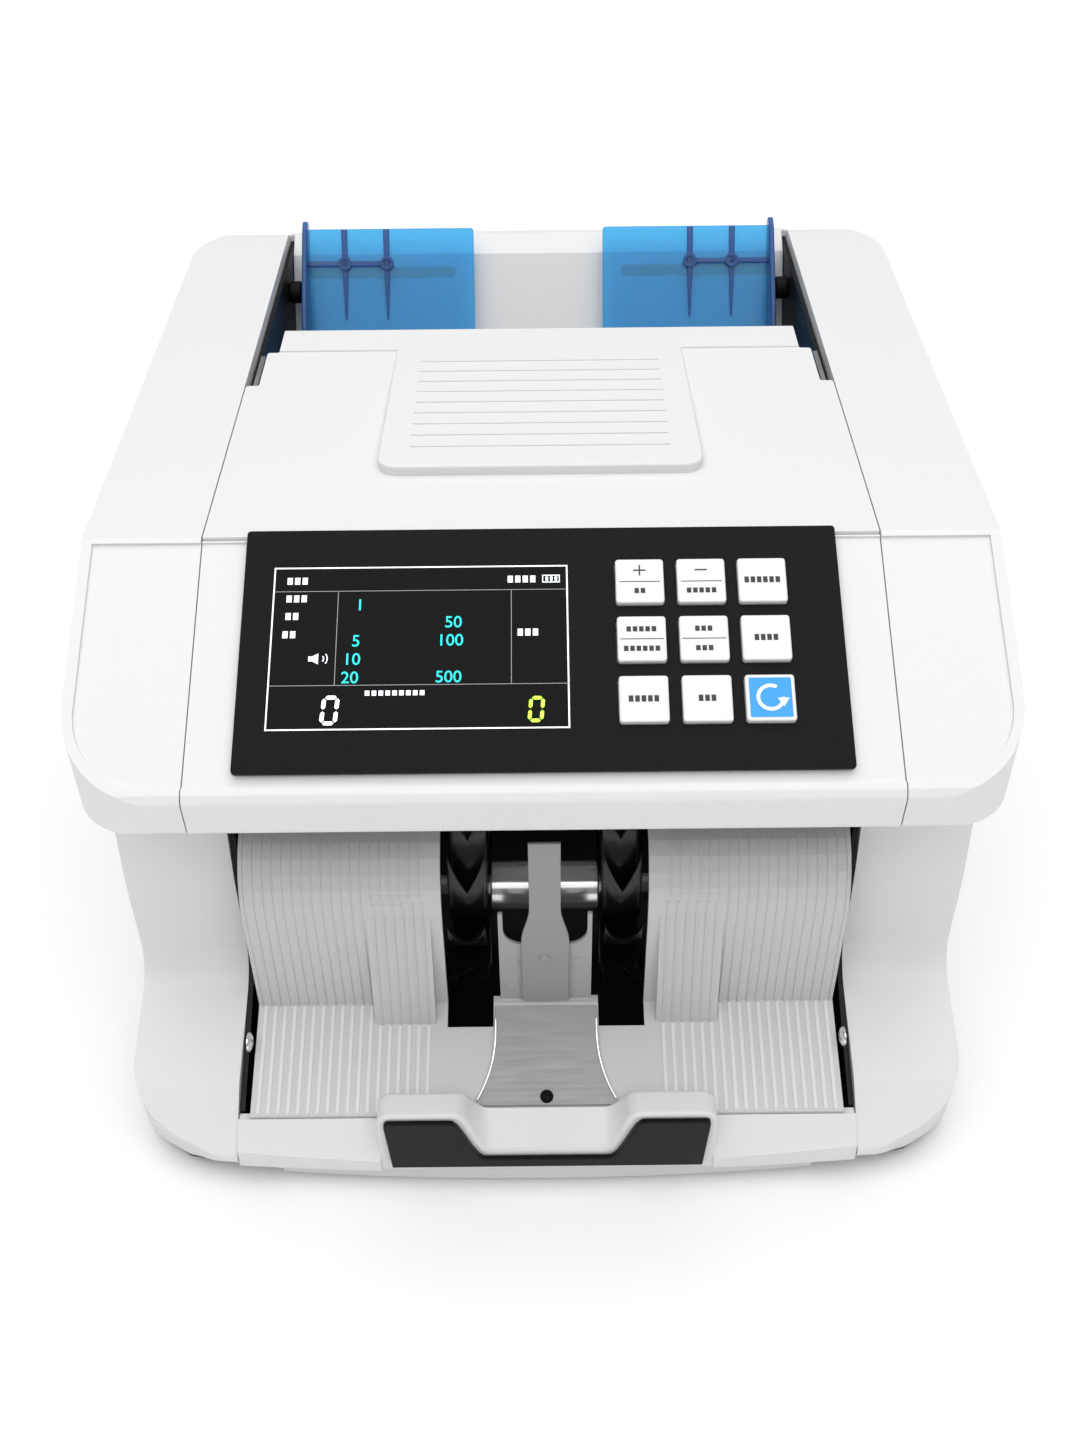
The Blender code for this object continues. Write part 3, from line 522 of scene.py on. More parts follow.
def top_cover():
    start = RIDGE[0] + 0.3
    notch = 31.0
    strip = 55.0
    rear = 71.0
    half = [(105.8, start, 0), (105.8, notch, 1.2), (101.2, notch, 1.0),
            (101.2, strip, 1.2), (97.0, strip, 0.8), (97.0, rear, 1.5)]
    plan = fillet(half + [(-a, b, radius) for a, b, radius in reversed(half)], 4)
    body = slab("cover_shell", plan, "Z", (150.0, 240.0))
    side = [top_surface(start - 5), top_surface(start - 5, -8.5), top_surface(rear + 5, -9.5),
            top_surface(rear + 5)]
    envelope = slab("cover_envelope", side, "X", (-120.0, 120.0))
    keep_inside(body, envelope)
    inner = [top_surface(start + 2.5, -2.5), top_surface(start + 2.5, -20.0),
             top_surface(68.5, -20.0), top_surface(68.5, -2.5)]
    arms = [block("arm_" + word, sided(hand, (92.0, 96.0)), (-14.0, 2.0), (147.0, 206.0))
            for hand, word in SIDES]
    shaped(body, [slab("cover_inside", inner, "X", (-97.0, 97.0))], bevel=0.7, segments=2)
    shaped(body, [rod("pinch_room", (-99.0, 99.0), (-6.0, 153.6), 3.1)], arms)
    finish_piece(body, WHITE, "cover", ["top_cover"])

    strip_plate = [top_surface(strip + 0.3, -0.5), top_surface(strip + 0.3, 0.7),
                   top_surface(rear - 0.2, 0.7), top_surface(rear - 0.2, -0.5)]
    plate = slab("cover_rear_strip", strip_plate, "X", (-96.8, 96.8))
    shaped(plate, bevel=0.3, segments=2)
    finish_piece(plate, WHITE, "cover")

    front = -28.2
    high, low = 3.5, 0.8
    wedge = [top_surface(front, -1.0), top_surface(front, high), top_surface(strip, low),
             top_surface(rear - 0.3, low), top_surface(rear - 0.3, -1.0)]
    pad = slab("grip_pad", wedge, "X", (-60.0, 60.0))
    footprint = fillet([(53.0, rear, 0), (54.2, front, 7.5), (-54.2, front, 7.5),
                        (-53.0, rear, 0)], 8)
    plan_pad = slab("pad_plan", footprint, "Z", (150.0, 240.0))
    keep_inside(pad, plan_pad)
    shaped(pad, bevel=1.1, segments=4)
    finish_piece(pad, WHITE, "cover")
    slope = math.atan2((low - high) + TOP_RISE * (strip - front), strip - front)
    for row in range(9):
        y = 45.5 - 7.6 * row
        rise = high + (low - high) * (y - front) / (strip - front)
        outline = rounded_box((-43.7, 43.7), (-0.75, 0.75), 0.74, 4)
        rib = slab(f"grip_line_{row}", outline, "Z", (-0.3, 0.45),
                   placed((0.0, *top_surface(y, rise)), slope))
        shaped(rib, bevel=0.25, segments=2)
        finish_piece(rib, WHITE, "cover")


# ---------------------------------------------------------------- front base

def block_top(x, high, low):
    """Height of the finger block's top edge across the machine."""
    return low + (high - low) * smooth_step((abs(x) - DIP_HALF) / DIP_SIDE)


def dip_outline(high, low, half, base, steps=40):
    points = [(half, base), (-half, base)]
    corner = 5.0
    points += arc((-half + corner, high - corner), corner, 180, 90, 6)
    xs = [(-30.0 + 60.0 * step / steps) for step in range(steps + 1)]
    points += [(x, block_top(x, high, low)) for x in xs]
    points += arc((half - corner, high - corner), corner, 90, 0, 6)
    return points


def front_base():
    outline = fillet([(-149.4, 25.6, 0.6), (-157.0, 18.6, 4.0), (-163.0, 13.6, 0),
                      (-163.0, 10.2, 0), (-146.0, 10.2, 0), (-146.0, 23.6, 0), (-149.4, 23.6, 0)])
    lip = slab("lip_shell", outline, "X", (-SEAM + 0.1, SEAM - 0.1))
    steps = 40
    edge = [(x, -161.6 + LIP_BOW * x * x)
            for x in [(-120.0 + 240.0 * step / steps) for step in range(steps + 1)]]
    bow = slab("bow", [(120.0, -175.0), (-120.0, -175.0)] + edge, "Z", (0.0, 60.0))
    room = block("room", (-56.8, 56.8), (-175.0, -159.6), (0.0, 60.0))
    shaped(lip, [bow, room], bevel=0.8, segments=3)
    finish_piece(lip, WHITE, "base", ["front_lip"])

    rear = dip_outline(39.6, 31.4, 57.0, 10.3)
    stop = slab("finger_stop", rear, "Y", (-159.8, -149.6))
    lower_front(stop)
    shaped(stop, bevel=1.6, segments=4)
    finish_piece(stop, WHITE, "base")

    face = slab("lip_insert_face", insert_outline(), "Y", (-162.0, -160.0))
    shaped(face, bevel=0.5, segments=3)
    finish_piece(face, INSERT, "base", ["lip_insert"])


def lower_front(stop):
    """Slopes the bottom of the finger dip down to the front."""
    for vert in stop.data.vertices:
        x = vert.co.x / MM
        if vert.co.y / MM < -155.0 and vert.co.z / MM > 25.0 and abs(x) < 31.0:
            fall = 11.6 * (1 - smooth_step((abs(x) - DIP_HALF) / DIP_SIDE))
            vert.co.z -= fall * MM


def insert_outline(steps=40):
    half, low, high = 54.3, 14.2, 38.2
    points = [(half - 1.5, low), (-half + 1.5, low)]
    points += arc((-half + 1.5, high - 1.5), 1.5, 180, 90, 3)
    for step in range(steps + 1):
        x = -33.0 + 66.0 * step / steps
        points.append((x, 18.4 + (high - 18.4) * smooth_step((abs(x) - 21.0) / 11.0)))
    points += arc((half - 1.5, high - 1.5), 1.5, 90, 0, 3)
    return points


# ---------------------------------------------------------------- note pocket

def wall_path(rise=0.0, steps=12):
    """The pocket's surface from the floor's front up over the back wall, (y, z)."""
    points = [along_slope(FLOOR_FRONT, FLOOR_SLOPE, 0.6, rise)]
    points.append(along_slope(FLOOR_FRONT, FLOOR_SLOPE, 38.6 - rise * 0.6, rise))
    points += arc((-85.0, 86.0), 28.7 + rise, 180, 118, steps)
    return points


def ribbon(name, x, lift, first):
    """A flat strip of material that follows the pocket's surface from its point first on."""
    upper = wall_path(lift)[first:]
    lower = wall_path(-0.2)[first:]
    return slab(name, upper + lower[::-1], "X", x)


def wall_ribs():
    pitch = 3.25
    for side, word in SIDES:
        pieces = []
        x = 38.9 + pitch
        while x < POCKET_HALF - 1.0:
            start = 1 if x > 61.5 else 5
            pieces.append(ribbon("rib", sided(side, (x - RIB_HALF, x + RIB_HALF)), 0.3, start))
            x += pitch
        merged("pocket_ribs_" + word, pieces, LINER, "base")


def wedge_outline(lift=0.0):
    return [(-120.5 - lift, 38.6 + lift * 0.4), (-113.0 - lift, 92.0), (-110.5, 92.0),
            (-112.5, 40.5)]


def wedge_and_floor_ribs():
    """Ribs on the wall's forward part beside the wheels, and along the floor; the floor ribs get a
    lighter white than the liner, a painted highlight on their tops.
    """
    for side, word in SIDES:
        pieces = []
        for count in range(6):
            x = 41.2 + 3.3 * count
            pieces.append(slab("wedge_rib", wedge_outline(0.3), "X",
                               sided(side, (x - RIB_HALF, x + RIB_HALF))))
        merged("wedge_ribs_" + word, pieces, LINER, "base")
        pieces = []
        for count in range(18):
            x = 41.2 + 3.4 * count
            rear = 31.0 if x < 61.0 else 38.3
            across = sided(side, (x - FLOOR_RIB_HALF, x + FLOOR_RIB_HALF))
            pieces.append(slab("floor_rib", rounded_box(across, (0.8, rear), 0.3, 2), "Z",
                               (-0.2, 0.35), FLOOR))
        # Painted highlight: the floor ribs get a lighter white than the liner they are moulded in.
        merged("floor_ribs_" + word, pieces, RIB_PAINTED_HIGHLIGHT, "base")


def steel_plate():
    points = [(24.2, 2.6), (24.2, 4.5)]
    for step in range(13):
        t = step / 12
        points.append((18.0 + 6.2 * (1 - t) ** 2.2, 4.5 + 24.0 * t))
    points += [(18.0, 37.5)]
    points += [(-a, b) for a, b in reversed(points)]
    plate = slab("steel_plate", points, "Z", (0.3, 1.1), FLOOR)
    shaped(plate, bevel=0.25, segments=2)
    finish_piece(plate, PLATE, "base", ["tray_plate"])
    for side, word in SIDES:
        outer = [(18.1 + 6.2 * (1 - k / 16) ** 2.2, 4.5 + 24.0 * k / 16) for k in range(17)]
        outer += [(18.1, 33.0)]
        edge = outer + [(a - 0.8, b) for a, b in reversed(outer)]
        fold = slab("plate_fold_" + word, [(side * a, b) for a, b in edge], "Z", (0.4, 1.9),
                    FLOOR)
        shaped(fold, bevel=0.3, segments=3)
        finish_piece(fold, CHROME_PAINTED_SHEEN, "base")
    screw_head("plate_screw_head", FLOOR @ Matrix.Translation((0, 5.6 * MM, 1.15 * MM)), 2.3, 1.3,
               BEZEL, "plate_screw")


def screw_head(name, place, radius, height, made, node):
    """A domed head with a cross recess; the frame's z points out of the head."""
    bm = bmesh.new()
    rings = 7
    sides = 28
    loops = []
    for ring in range(rings):
        lift = math.sin(math.pi / 2 * ring / (rings - 1)) * height
        reach = radius * math.cos(math.pi / 2 * ring / (rings - 1) * 0.9)
        loops.append([bm.verts.new((reach * math.cos(math.tau * k / sides) * MM,
                                    reach * math.sin(math.tau * k / sides) * MM, lift * MM))
                      for k in range(sides)])
    for low, high in zip(loops, loops[1:]):
        for k in range(sides):
            bm.faces.new((low[k], low[(k + 1) % sides], high[(k + 1) % sides], high[k]))
    bm.faces.new(loops[-1])
    bm.faces.new(loops[0][::-1])
    mesh = bpy.data.meshes.new(name)
    bm.to_mesh(mesh)
    bm.free()
    head = link(name, mesh)
    cross = []
    for turn in (0, 90):
        bar = slab("bar", [(-radius * 0.62, -radius * 0.13), (radius * 0.62, -radius * 0.13),
                           (radius * 0.62, radius * 0.13), (-radius * 0.62, radius * 0.13)],
                   "Z", (height * 0.35, height * 2))
        bar.data.transform(Matrix.Rotation(math.radians(turn + 20), 4, "Z"))
        cross.append(bar)
    shaped(head, cross)
    head.data.transform(place)
    finish_piece(head, made, "base", [node])


def frame_screws():
    for side, word in SIDES:
        place = Matrix.Translation(Vector((side * 103.9, -127.6, 39.0)) * MM)
        place = place @ Matrix.Rotation(-side * math.pi / 2, 4, "Y")
        screw_head("frame_screw_head_" + word, place, 3.6, 1.7, CHROME_PAINTED_SHEEN,
                   "frame_screw_" + word)


def centre_parts():
    steps = 12
    edge = [(8.2, 43.6)]
    for step in range(steps + 1):
        t = step / steps
        edge.append((8.2 - 2.9 * smooth_step(t), 74.0 + 16.0 * t))
    edge.append((5.3, 120.0))
    bar = slab("note_bar", edge + [(-a, b) for a, b in reversed(edge)], "Y", (-114.4, -113.2))
    dimple = rod_y("dimple", (0.0, 66.0), 1.9, (-115.2, -114.0))
    shaped(bar, joins=[dimple], bevel=0.35, segments=3)
    finish_piece(bar, BAR_GREY, "base", ["note_guide"])
    outer = [(-16.0, 43.6), (16.0, 43.6), (16.0, 86.0), (14.4, 86.0)]
    curve = [(14.4 - 7.0 * (1 - math.cos(math.radians(90 * s / 8))),
              78.0 - 7.0 * math.sin(math.radians(90 * s / 8))) for s in range(9)]
    outline = outer + curve + [(-a, b) for a, b in reversed(curve)]
    outline += [(-14.4, 86.0), (-16.0, 86.0)]
    plate = slab("bracket_plate", outline, "Y", (-112.6, -111.4))
    studs = []
    for x in (-11.5, 11.5):
        for z in (50.0, 62.0):
            studs.append(rod_y("stud", (x, z), 2.4, (-112.9, -112.0)))
    shaped(plate, joins=studs, bevel=0.3, segments=2)
    finish_piece(plate, GREY, "base", ["sensor_bracket"])


def shaft_sleeve():
    """The bright sleeve on the stacker shaft, between the wheels."""
    sleeve = rod("stacker_sleeve", (-19.4, 19.4), STACKER_AXIS, 8.8, 64)
    shaped(sleeve, bevel=0.6, segments=3)
    finish_piece(sleeve, CHROME_PAINTED_SHEEN, "stacker")


# ---------------------------------------------------------------- stacker wheels

def stacker_wheels(blades=10, hub=15.0, notch=9.0, sweep=-62.0):
    """Hubs with swept blades whose tips are cut in a swallow tail."""
    lengths, widths = 12, 8
    for side, word in SIDES:
        middle = side * 26.6
        half = 6.5
        bm = bmesh.new()
        for blade in range(blades):
            base = math.tau * blade / blades
            grid = []
            for row in range(lengths + 1):
                line = []
                for column in range(widths + 1):
                    across = 2 * column / widths - 1
                    tip = STACKER_RADIUS - notch * (1 - abs(across)) ** 0.8
                    radius = hub - 0.6 + (tip - hub + 0.6) * row / lengths
                    turn = base + math.radians(sweep) * (max(0.0, radius - hub)
                                                         / (STACKER_RADIUS - hub)) ** 0.8
                    line.append(bm.verts.new(Vector((
                        middle + across * half, STACKER_AXIS[0] + radius * math.cos(turn),
                        STACKER_AXIS[1] + radius * math.sin(turn))) * MM))
                grid.append(line)
            for row in range(lengths):
                for column in range(widths):
                    bm.faces.new((grid[row][column], grid[row][column + 1],
                                  grid[row + 1][column + 1], grid[row + 1][column]))
        mesh = bpy.data.meshes.new("wheel_blades")
        bm.to_mesh(mesh)
        bm.free()
        blades_piece = link("stacker_blades_" + word, mesh)
        step = blades_piece.modifiers.new("thick", "SOLIDIFY")
        step.thickness = 1.7 * MM
        step.offset = 1.0
        edge = blades_piece.modifiers.new("edge", "BEVEL")
        edge.width = 0.4 * MM
        edge.segments = 2
        edge.limit_method = "ANGLE"
        apply_all(blades_piece)
        finish_piece(blades_piece, WHEEL, "stacker", ["stacker_wheel_" + word])
        hub_piece = rod("stacker_hub_" + word, (middle - half, middle + half), STACKER_AXIS, hub)
        hub_room = rod("hub_room", (middle - 9, middle + 9), STACKER_AXIS, 4.1)
        shaped(hub_piece, [hub_room], bevel=0.5)
        finish_piece(hub_piece, WHEEL, "stacker")


# ---------------------------------------------------------------- hopper

def hopper_spot(drop, rise):
    return along_slope(HOPPER_TOP, HOPPER_SLOPE, -drop, rise)


def hopper_guides():
    for side, word in SIDES:
        body = "guide_" + word
        outline = rounded_box(sided(side, (GUIDE_INNER, GUIDE_OUTER - 0.5)), (-62.0, 9.0), 1.2, 4)
        sheet = slab("guide_sheet_" + word, outline, "Z", (GUIDE_STAND, GUIDE_STAND + 2.2), HOPPER)
        shaped(sheet, bevel=0.5, segments=3)
        finish_piece(sheet, BLUE, body, ["hopper_guide_" + word])
        wall_line = fillet([(*hopper_spot(-12.0, 5.0), 1.0), (*hopper_spot(62.0, 5.0), 1.0),
                            (*hopper_spot(62.0, 26.0), 3.0), (*hopper_spot(25.0, 20.2), 12.0),
                            (*hopper_spot(-8.0, 12.0), 3.0), (*hopper_spot(-12.0, 9.5), 1.5)])
        wall = slab("guide_wall_" + word, wall_line, "X",
                    sided(side, (GUIDE_OUTER - 2.2, GUIDE_OUTER)))
        shaped(wall, bevel=0.6, segments=3)
        finish_piece(wall, DEEP_BLUE, body)
        face = GUIDE_STAND + 2.1
        for count, across in enumerate(GUIDE_RIBS):
            taper = [(across - 1.3, 8.6), (across - 1.1, -10.0), (across - 0.3, -28.0),
                     (across + 0.3, -28.0), (across + 1.1, -10.0), (across + 1.3, 8.6)]
            rib = slab(f"guide_rib_{word}_{count}", [(side * a, b) for a, b in taper], "Z",
                       (face, face + 1.0), HOPPER)
            shaped(rib, bevel=0.3, segments=2)
            finish_piece(rib, DEEP_BLUE, body)
            rim = circle((side * across, GUIDE_CROSS), 2.9, 32)
            well = circle((side * across, GUIDE_CROSS), 1.5, 32)
            boss = slab(f"guide_boss_{word}_{count}", rim, "Z", (face, face + 1.5), HOPPER)
            shaped(boss, [slab("well", well, "Z", (face + 0.6, face + 3.0), HOPPER)],
                   bevel=0.25, segments=2)
            finish_piece(boss, DEEP_BLUE, body)
        cross = rounded_box(sided(side, (63.5, 96.5)), (-6.3, -4.1), 0.4, 2)
        bar = slab("guide_cross_" + word, cross, "Z", (face, face + 1.0), HOPPER)
        shaped(bar, bevel=0.3, segments=2)
        finish_piece(bar, DEEP_BLUE, body)
        stem_plan = rounded_box(sided(side, (60.0, 68.0)), (-9.2, -5.8), 0.5, 2)
        stem = slab("guide_stem_" + word, stem_plan, "Z", (-7.7, GUIDE_STAND - 0.1), HOPPER)
        finish_piece(stem, DEEP_BLUE, body)
        knob = rod("hopper_knob_" + word, sided(side, (98.6, 103.9)), (132.0, 205.0), 4.5, 32)
        shaped(knob, bevel=1.0, segments=3)
        finish_piece(knob, BEZEL, "base")
        ledge = fillet([(31.2, 205.0, 0), (31.2, 209.6, 1.0), (54.5, 211.6, 1.0),
                        (54.5, 205.0, 0)])
        rail = slab("notch_rail_" + word, ledge, "X", sided(side, (102.0, 103.6)))
        finish_piece(rail, SATIN_STEEL, "base")


# ---------------------------------------------------------------- display and keys

def bar_piece(x, y, rise, thick=0.1):
    return slab("bar", [(x[0], y[0]), (x[1], y[0]), (x[1], y[1]), (x[0], y[1])], "Z",
                (rise, rise + thick), PANEL)


def digits(name, text, x, y, size, made, right=False):
    """Plain digits on the screen, baseline at y up the slope."""
    curve = bpy.data.curves.new(name, "FONT")
    curve.body = text
    curve.size = size * 1.38 * MM
    curve.align_x = "RIGHT" if right else "LEFT"
    curve.extrude = 0.04 * MM
    curve.offset = 0.02 * MM * size / 4
    obj = bpy.data.objects.new(name, curve)
    bpy.context.scene.collection.objects.link(obj)
    obj.matrix_world = PANEL @ Matrix.Translation(Vector((x, y, BEZEL_RISE + 0.08)) * MM)
    bpy.context.view_layer.update()
    graph = bpy.context.evaluated_depsgraph_get()
    mesh = bpy.data.meshes.new_from_object(obj.evaluated_get(graph))
    mesh.transform(obj.matrix_world)
    bpy.data.objects.remove(obj, do_unlink=True)
    return finish_piece(link(name, mesh), made, "cover")


def seven_segment_zero(name, x, y, width, height, stroke, made):
    """A leaning figure of six pointed bars."""
    lean = 0.08
    rise = BEZEL_RISE + 0.03
    pieces = []
    gap = stroke * 0.25
    half = height / 2

    def leaned(points):
        return [(a + lean * (b - y), b) for a, b in points]

    def segment(first, last, level):
        (ax, ay), (bx, by) = first, last
        h = stroke / 2
        if level:
            points = [(ax, ay), (ax + h, ay + h), (bx - h, by + h), (bx, by), (bx - h, by - h),
                      (ax + h, ay - h)]
        else:
            points = [(ax, ay), (ax + h, ay + h), (bx + h, by - h), (bx, by), (bx - h, by - h),
                      (ax - h, ay + h)]
        return slab("segment", leaned(points), "Z", (rise, rise + 0.1), PANEL)

    pieces.append(segment((x + gap, y), (x + width - gap, y), True))
    pieces.append(segment((x + gap, y + height), (x + width - gap, y + height), True))
    for across in (x, x + width):
        pieces.append(segment((across, y + gap), (across, y + half - gap), False))
        pieces.append(segment((across, y + half + gap), (across, y + height - gap), False))
    merged(name, pieces, made, "cover")


def display():
    rise = BEZEL_RISE + 0.02
    x, y = SCREEN_X, SCREEN_SPAN
    line = 0.45
    frame_bars = [
        bar_piece(x, (y[0], y[0] + line), rise), bar_piece(x, (y[1] - line, y[1]), rise),
        bar_piece((x[0], x[0] + line), y, rise), bar_piece((x[1] - line, x[1]), y, rise),
    ]
    merged("screen_border", frame_bars, LINE_WHITE, "cover")
    rules = [
        bar_piece(x, (63.8, 63.98), rise), bar_piece(x, (32.6, 32.78), rise),
        bar_piece((-62.3, -62.1), (32.7, 63.9), rise),
        bar_piece((-9.4, -9.2), (32.7, 63.9), rise),
    ]
    merged("screen_rules", rules, RULE_GREY, "cover")
    for count, (text, across, along) in enumerate((
            ("1", -56.8, 57.4), ("50", -29.6, 51.4), ("5", -57.6, 45.4), ("100", -31.8, 45.4),
            ("10", -60.0, 39.4), ("20", -60.4, 33.4), ("500", -32.2, 33.4))):
        digits(f"screen_value_{count}", text, across, along, 3.9, DIGIT_CYAN)
    marks = []
    for across, along, width in ((-78.0, 66.3, 7.2), (-78.0, 60.3, 6.4), (-78.0, 54.4, 5.6),
                                 (-78.6, 48.3, 4.2), (-10.4, 66.3, 9.0), (-7.4, 48.4, 6.8)):
        for step in range(max(2, round(width / 2.3))):
            start = across + 2.3 * step
            marks.append(bar_piece((start, start + 1.6), (along, along + 2.3), rise))
    for step in range(9):
        marks.append(bar_piece((-53.0 + 2.05 * step, -51.6 + 2.05 * step), (29.3, 30.9), rise))
    merged("screen_marks", marks, LINE_WHITE, "cover")
    battery = [bar_piece(across, along, rise) for across, along in (
        ((0.2, 5.6), (66.2, 66.5)), ((0.2, 5.6), (68.5, 68.8)),
        ((0.2, 0.5), (66.2, 68.8)), ((5.3, 5.6), (66.2, 68.8)))]
    battery += [bar_piece((1.2 + 1.4 * k, 2.0 + 1.4 * k), (66.8, 68.2), rise) for k in range(3)]
    merged("screen_battery", battery, LINE_WHITE, "cover")
    horn = [bar_piece((-70.4, -69.2), (40.6, 42.2), rise),
            slab("horn", [(-69.2, 40.6), (-67.4, 39.6), (-67.4, 43.2), (-69.2, 42.2)], "Z",
                 (rise, rise + 0.1), PANEL)]
    for reach in (1.6, 2.7):
        outer = arc((-67.2, 41.4), reach, -38, 38, 6)
        inner = arc((-67.2, 41.4), reach - 0.35, 38, -38, 6)
        horn.append(slab("wave", outer + inner, "Z", (rise, rise + 0.1), PANEL))
    merged("screen_speaker", horn, LINE_WHITE, "cover")
    seven_segment_zero("total_digit", -65.6, 20.6, 4.0, 8.2, 1.2, DIGIT_WHITE)
    seven_segment_zero("count_digit", -4.0, 20.9, 3.6, 7.2, 1.1, DIGIT_GREEN)


def key_caps():
    half = 7.4
    for names, along in zip(KEY_NAMES, KEY_ROWS):
        for name, across in zip(names, KEY_COLUMNS):
            outline = rounded_box((across - half, across + half),
                                  (along - half, along + half), 1.0, 4)
            cap = slab(name + "_cap", outline, "Z", (-2.3, KEY_RISE), PANEL)
            shaped(cap, bevel=0.55, segments=3)
            finish_piece(cap, KEY_WHITE, name, [name])
            key_print(name, across, along)


def word_bars(x, y, width, rise, height=1.7, pitch=1.9):
    """A row of plain strokes in the place of a word."""
    count = max(1, round(width / pitch))
    start = x - width / 2
    return [bar_piece((start + pitch * k + 0.2, start + pitch * k + pitch - 0.35),
                      (y - height / 2, y + height / 2), rise, 0.06) for k in range(count)]


def key_print(name, x, y):
    rise = KEY_RISE + 0.005
    pieces = []
    if name in ("key_plus", "key_minus"):
        pieces.append(bar_piece((x - 1.9, x + 1.9), (y + 3.3, y + 3.75), rise, 0.06))
        if name == "key_plus":
            pieces.append(bar_piece((x - 0.22, x + 0.22), (y + 1.7, y + 5.35), rise + 0.002,
                                    0.06))
        pieces.append(bar_piece((x - 6.2, x + 6.2), (y - 0.45, y - 0.2), rise, 0.06))
        pieces += word_bars(x, y - 3.4, 3.8 if name == "key_plus" else 9.5, rise)
    elif name in ("key_auto", "key_detect"):
        pieces.append(bar_piece((x - 6.6, x + 6.6), (y - 0.3, y - 0.05), rise, 0.06))
        pieces += word_bars(x, y + 3.1, 9.5 if name == "key_auto" else 5.7, rise)
        pieces += word_bars(x, y - 3.3, 11.4 if name == "key_auto" else 5.7, rise)
    elif name == "key_restart":
        restart_key(x, y)
        return
    else:
        width = {"key_batch": 11.4, "key_add": 7.6, "key_function": 9.5, "key_uv": 5.7}[name]
        pieces += word_bars(x, y, width, rise, 2.0)
    merged(name + "_print", pieces, INK, name)


def restart_key(x, y):
    rise = KEY_RISE + 0.005
    field = slab("restart_field", rounded_box((x - 6.3, x + 6.3), (y - 6.3, y + 6.3), 0.5, 3), "Z",
                 (rise, rise + 0.05), PANEL)
    finish_piece(field, KEY_BLUE, "key_restart")
    outer = arc((x, y), 4.3, 60, 360, 30)
    inner = arc((x, y), 3.2, 360, 60, 30)
    ring = slab("ring", outer + inner, "Z", (rise + 0.05, rise + 0.1), PANEL)
    head = slab("head", [(x + 5.5, y - 0.2), (x + 2.0, y - 0.2), (x + 3.75, y - 3.0)][::-1], "Z",
                (rise + 0.052, rise + 0.102), PANEL)
    merged("restart_mark", [ring, head], KEY_MARK, "key_restart")


# ---------------------------------------------------------------- solids kept as they are

KEPT = {
    "pocket_liner": LINER, "rear_cover": WHITE, "front_skirt": PALE_GREY, "hopper_floor": GREY,
    "bottom_plate": STEEL_BLACK, "side_frame_left": STEEL_BLACK, "side_frame_right": STEEL_BLACK,
    "panel_bezel": BEZEL, "display_screen": GLOSS, "stacker_shaft": CHROME_PAINTED_SHEEN, "feed_shaft": CHROME_PAINTED_SHEEN,
    "transport_drum": GREY, "pinch_shaft": GREY, "motor": SATIN_STEEL, "motor_pulley": SATIN_STEEL,
    "stacker_pulley": SATIN_STEEL, "drum_pulley": SATIN_STEEL, "feed_pulley": SATIN_STEEL,
    "feed_roller_left": RUBBER, "feed_roller_right": RUBBER, "motor_belt": RUBBER,
    "stacker_belt": RUBBER, "feed_belt": RUBBER, "power_supply": SATIN_STEEL,
    "main_board": CIRCUIT,
    "power_inlet": GLOSS, "power_switch": GLOSS, "hinge_rod": SATIN_STEEL,
    "guide_rack_left": GREY, "guide_rack_right": GREY, "guide_pinion": GREY,
    "foot_front_left": RUBBER, "foot_front_right": RUBBER, "foot_rear_left": RUBBER,
    "foot_rear_right": RUBBER,
}


def dress_solids():
    for name, made in KEPT.items():
        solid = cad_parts[name]
        solid.data.materials.clear()
        solid.data.materials.append(made)


# ---------------------------------------------------------------- stage

def lamp(name, spot, target, size, power):
    data = bpy.data.lights.new(name, "AREA")
    data.shape = "RECTANGLE"
    data.size, data.size_y = size
    data.energy = power
    obj = bpy.data.objects.new(name, data)
    obj.location = spot
    obj.rotation_euler = (Vector(target) - Vector(spot)).to_track_quat("-Z", "Y").to_euler()
    bpy.context.scene.collection.objects.link(obj)


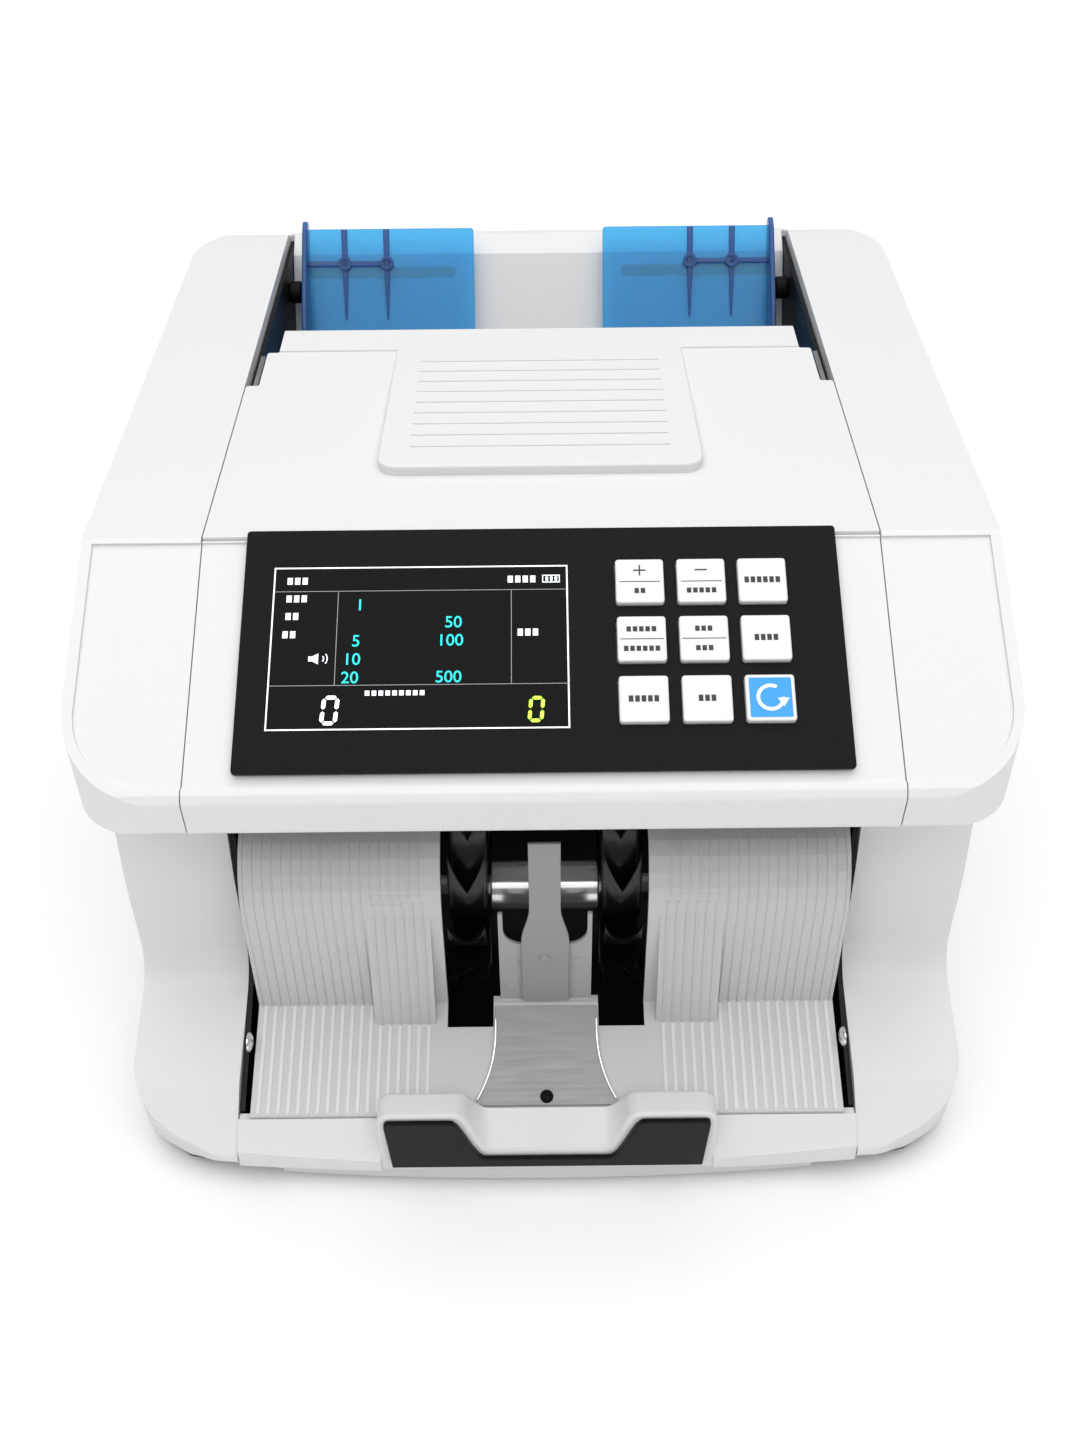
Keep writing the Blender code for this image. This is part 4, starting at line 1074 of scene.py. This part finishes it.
def glow_with_distance(paper):
    """Lets the floor stay white away from the object, where less light reaches it."""
    tree = paper.node_tree
    place = add_node(paper, "ShaderNodeTexCoord")
    size = add_node(paper, "ShaderNodeMapping", Scale=(0.4, 0.4, 0.4))
    ball = add_node(paper, "ShaderNodeTexGradient")
    ball.gradient_type = "SPHERICAL"
    ramp = add_node(paper, "ShaderNodeValToRGB")
    ramp.color_ramp.elements[0].position = 0.15
    ramp.color_ramp.elements[0].color = grey(0.45)
    ramp.color_ramp.elements[1].position = 0.85
    ramp.color_ramp.elements[1].color = grey(0.0)
    shader = tree.nodes["Principled BSDF"]
    shader.inputs["Emission Strength"].default_value = 1.0
    tree.links.new(place.outputs["Object"], size.inputs["Vector"])
    tree.links.new(size.outputs["Vector"], ball.inputs["Vector"])
    tree.links.new(ball.outputs["Fac"], ramp.inputs["Fac"])
    tree.links.new(ramp.outputs["Color"], shader.inputs["Emission Color"])


def stage():
    floor_mesh = bpy.data.meshes.new("floor")
    bm = bmesh.new()
    bmesh.ops.create_grid(bm, x_segments=1, y_segments=1, size=6.0)
    bm.to_mesh(floor_mesh)
    bm.free()
    floor = link("floor", floor_mesh)
    paper = material("floor_paper", (0.97, 0.97, 0.97), 0.9)
    grain(paper, 200.0, 0.02)
    glow_with_distance(paper)
    floor_mesh.materials.append(paper)
    world = bpy.data.worlds.new("studio")
    world.use_nodes = True
    world.node_tree.nodes["Background"].inputs["Color"].default_value = (1.0, 1.0, 1.0, 1.0)
    world.node_tree.nodes["Background"].inputs["Strength"].default_value = 0.3
    bpy.context.scene.world = world
    lamp("top_light", (0.0, -0.15, 2.2), (0.0, 0.0, 0.0), (3.6, 3.6), 70.0)
    lamp("front_light", (0.0, -1.3, 1.2), (0.0, 0.0, 0.1), (1.6, 0.7), 3.5)
    bpy.context.scene.view_settings.view_transform = "Standard"


def camera():
    data = bpy.data.cameras.new("camera")
    data.sensor_fit = "VERTICAL"
    data.sensor_height = 36.0
    data.lens = 35.0
    data.clip_start = 0.01
    obj = bpy.data.objects.new("camera", data)
    obj.location = Vector((0.0, -442.2, 431.6)) * MM
    down = math.radians(38.672)
    roll = math.radians(-0.58)
    obj.rotation_euler = (Matrix.Rotation(math.pi / 2 - down, 4, "X")
                          @ Matrix.Rotation(roll, 4, "Z")).to_euler()
    bpy.context.scene.collection.objects.link(obj)
    bpy.context.scene.camera = obj


side_covers()
front_panel()
top_cover()
front_base()
wall_ribs()
wedge_and_floor_ribs()
steel_plate()
frame_screws()
centre_parts()
shaft_sleeve()
stacker_wheels()
hopper_guides()
display()
key_caps()
dress_solids()
stage()
camera()
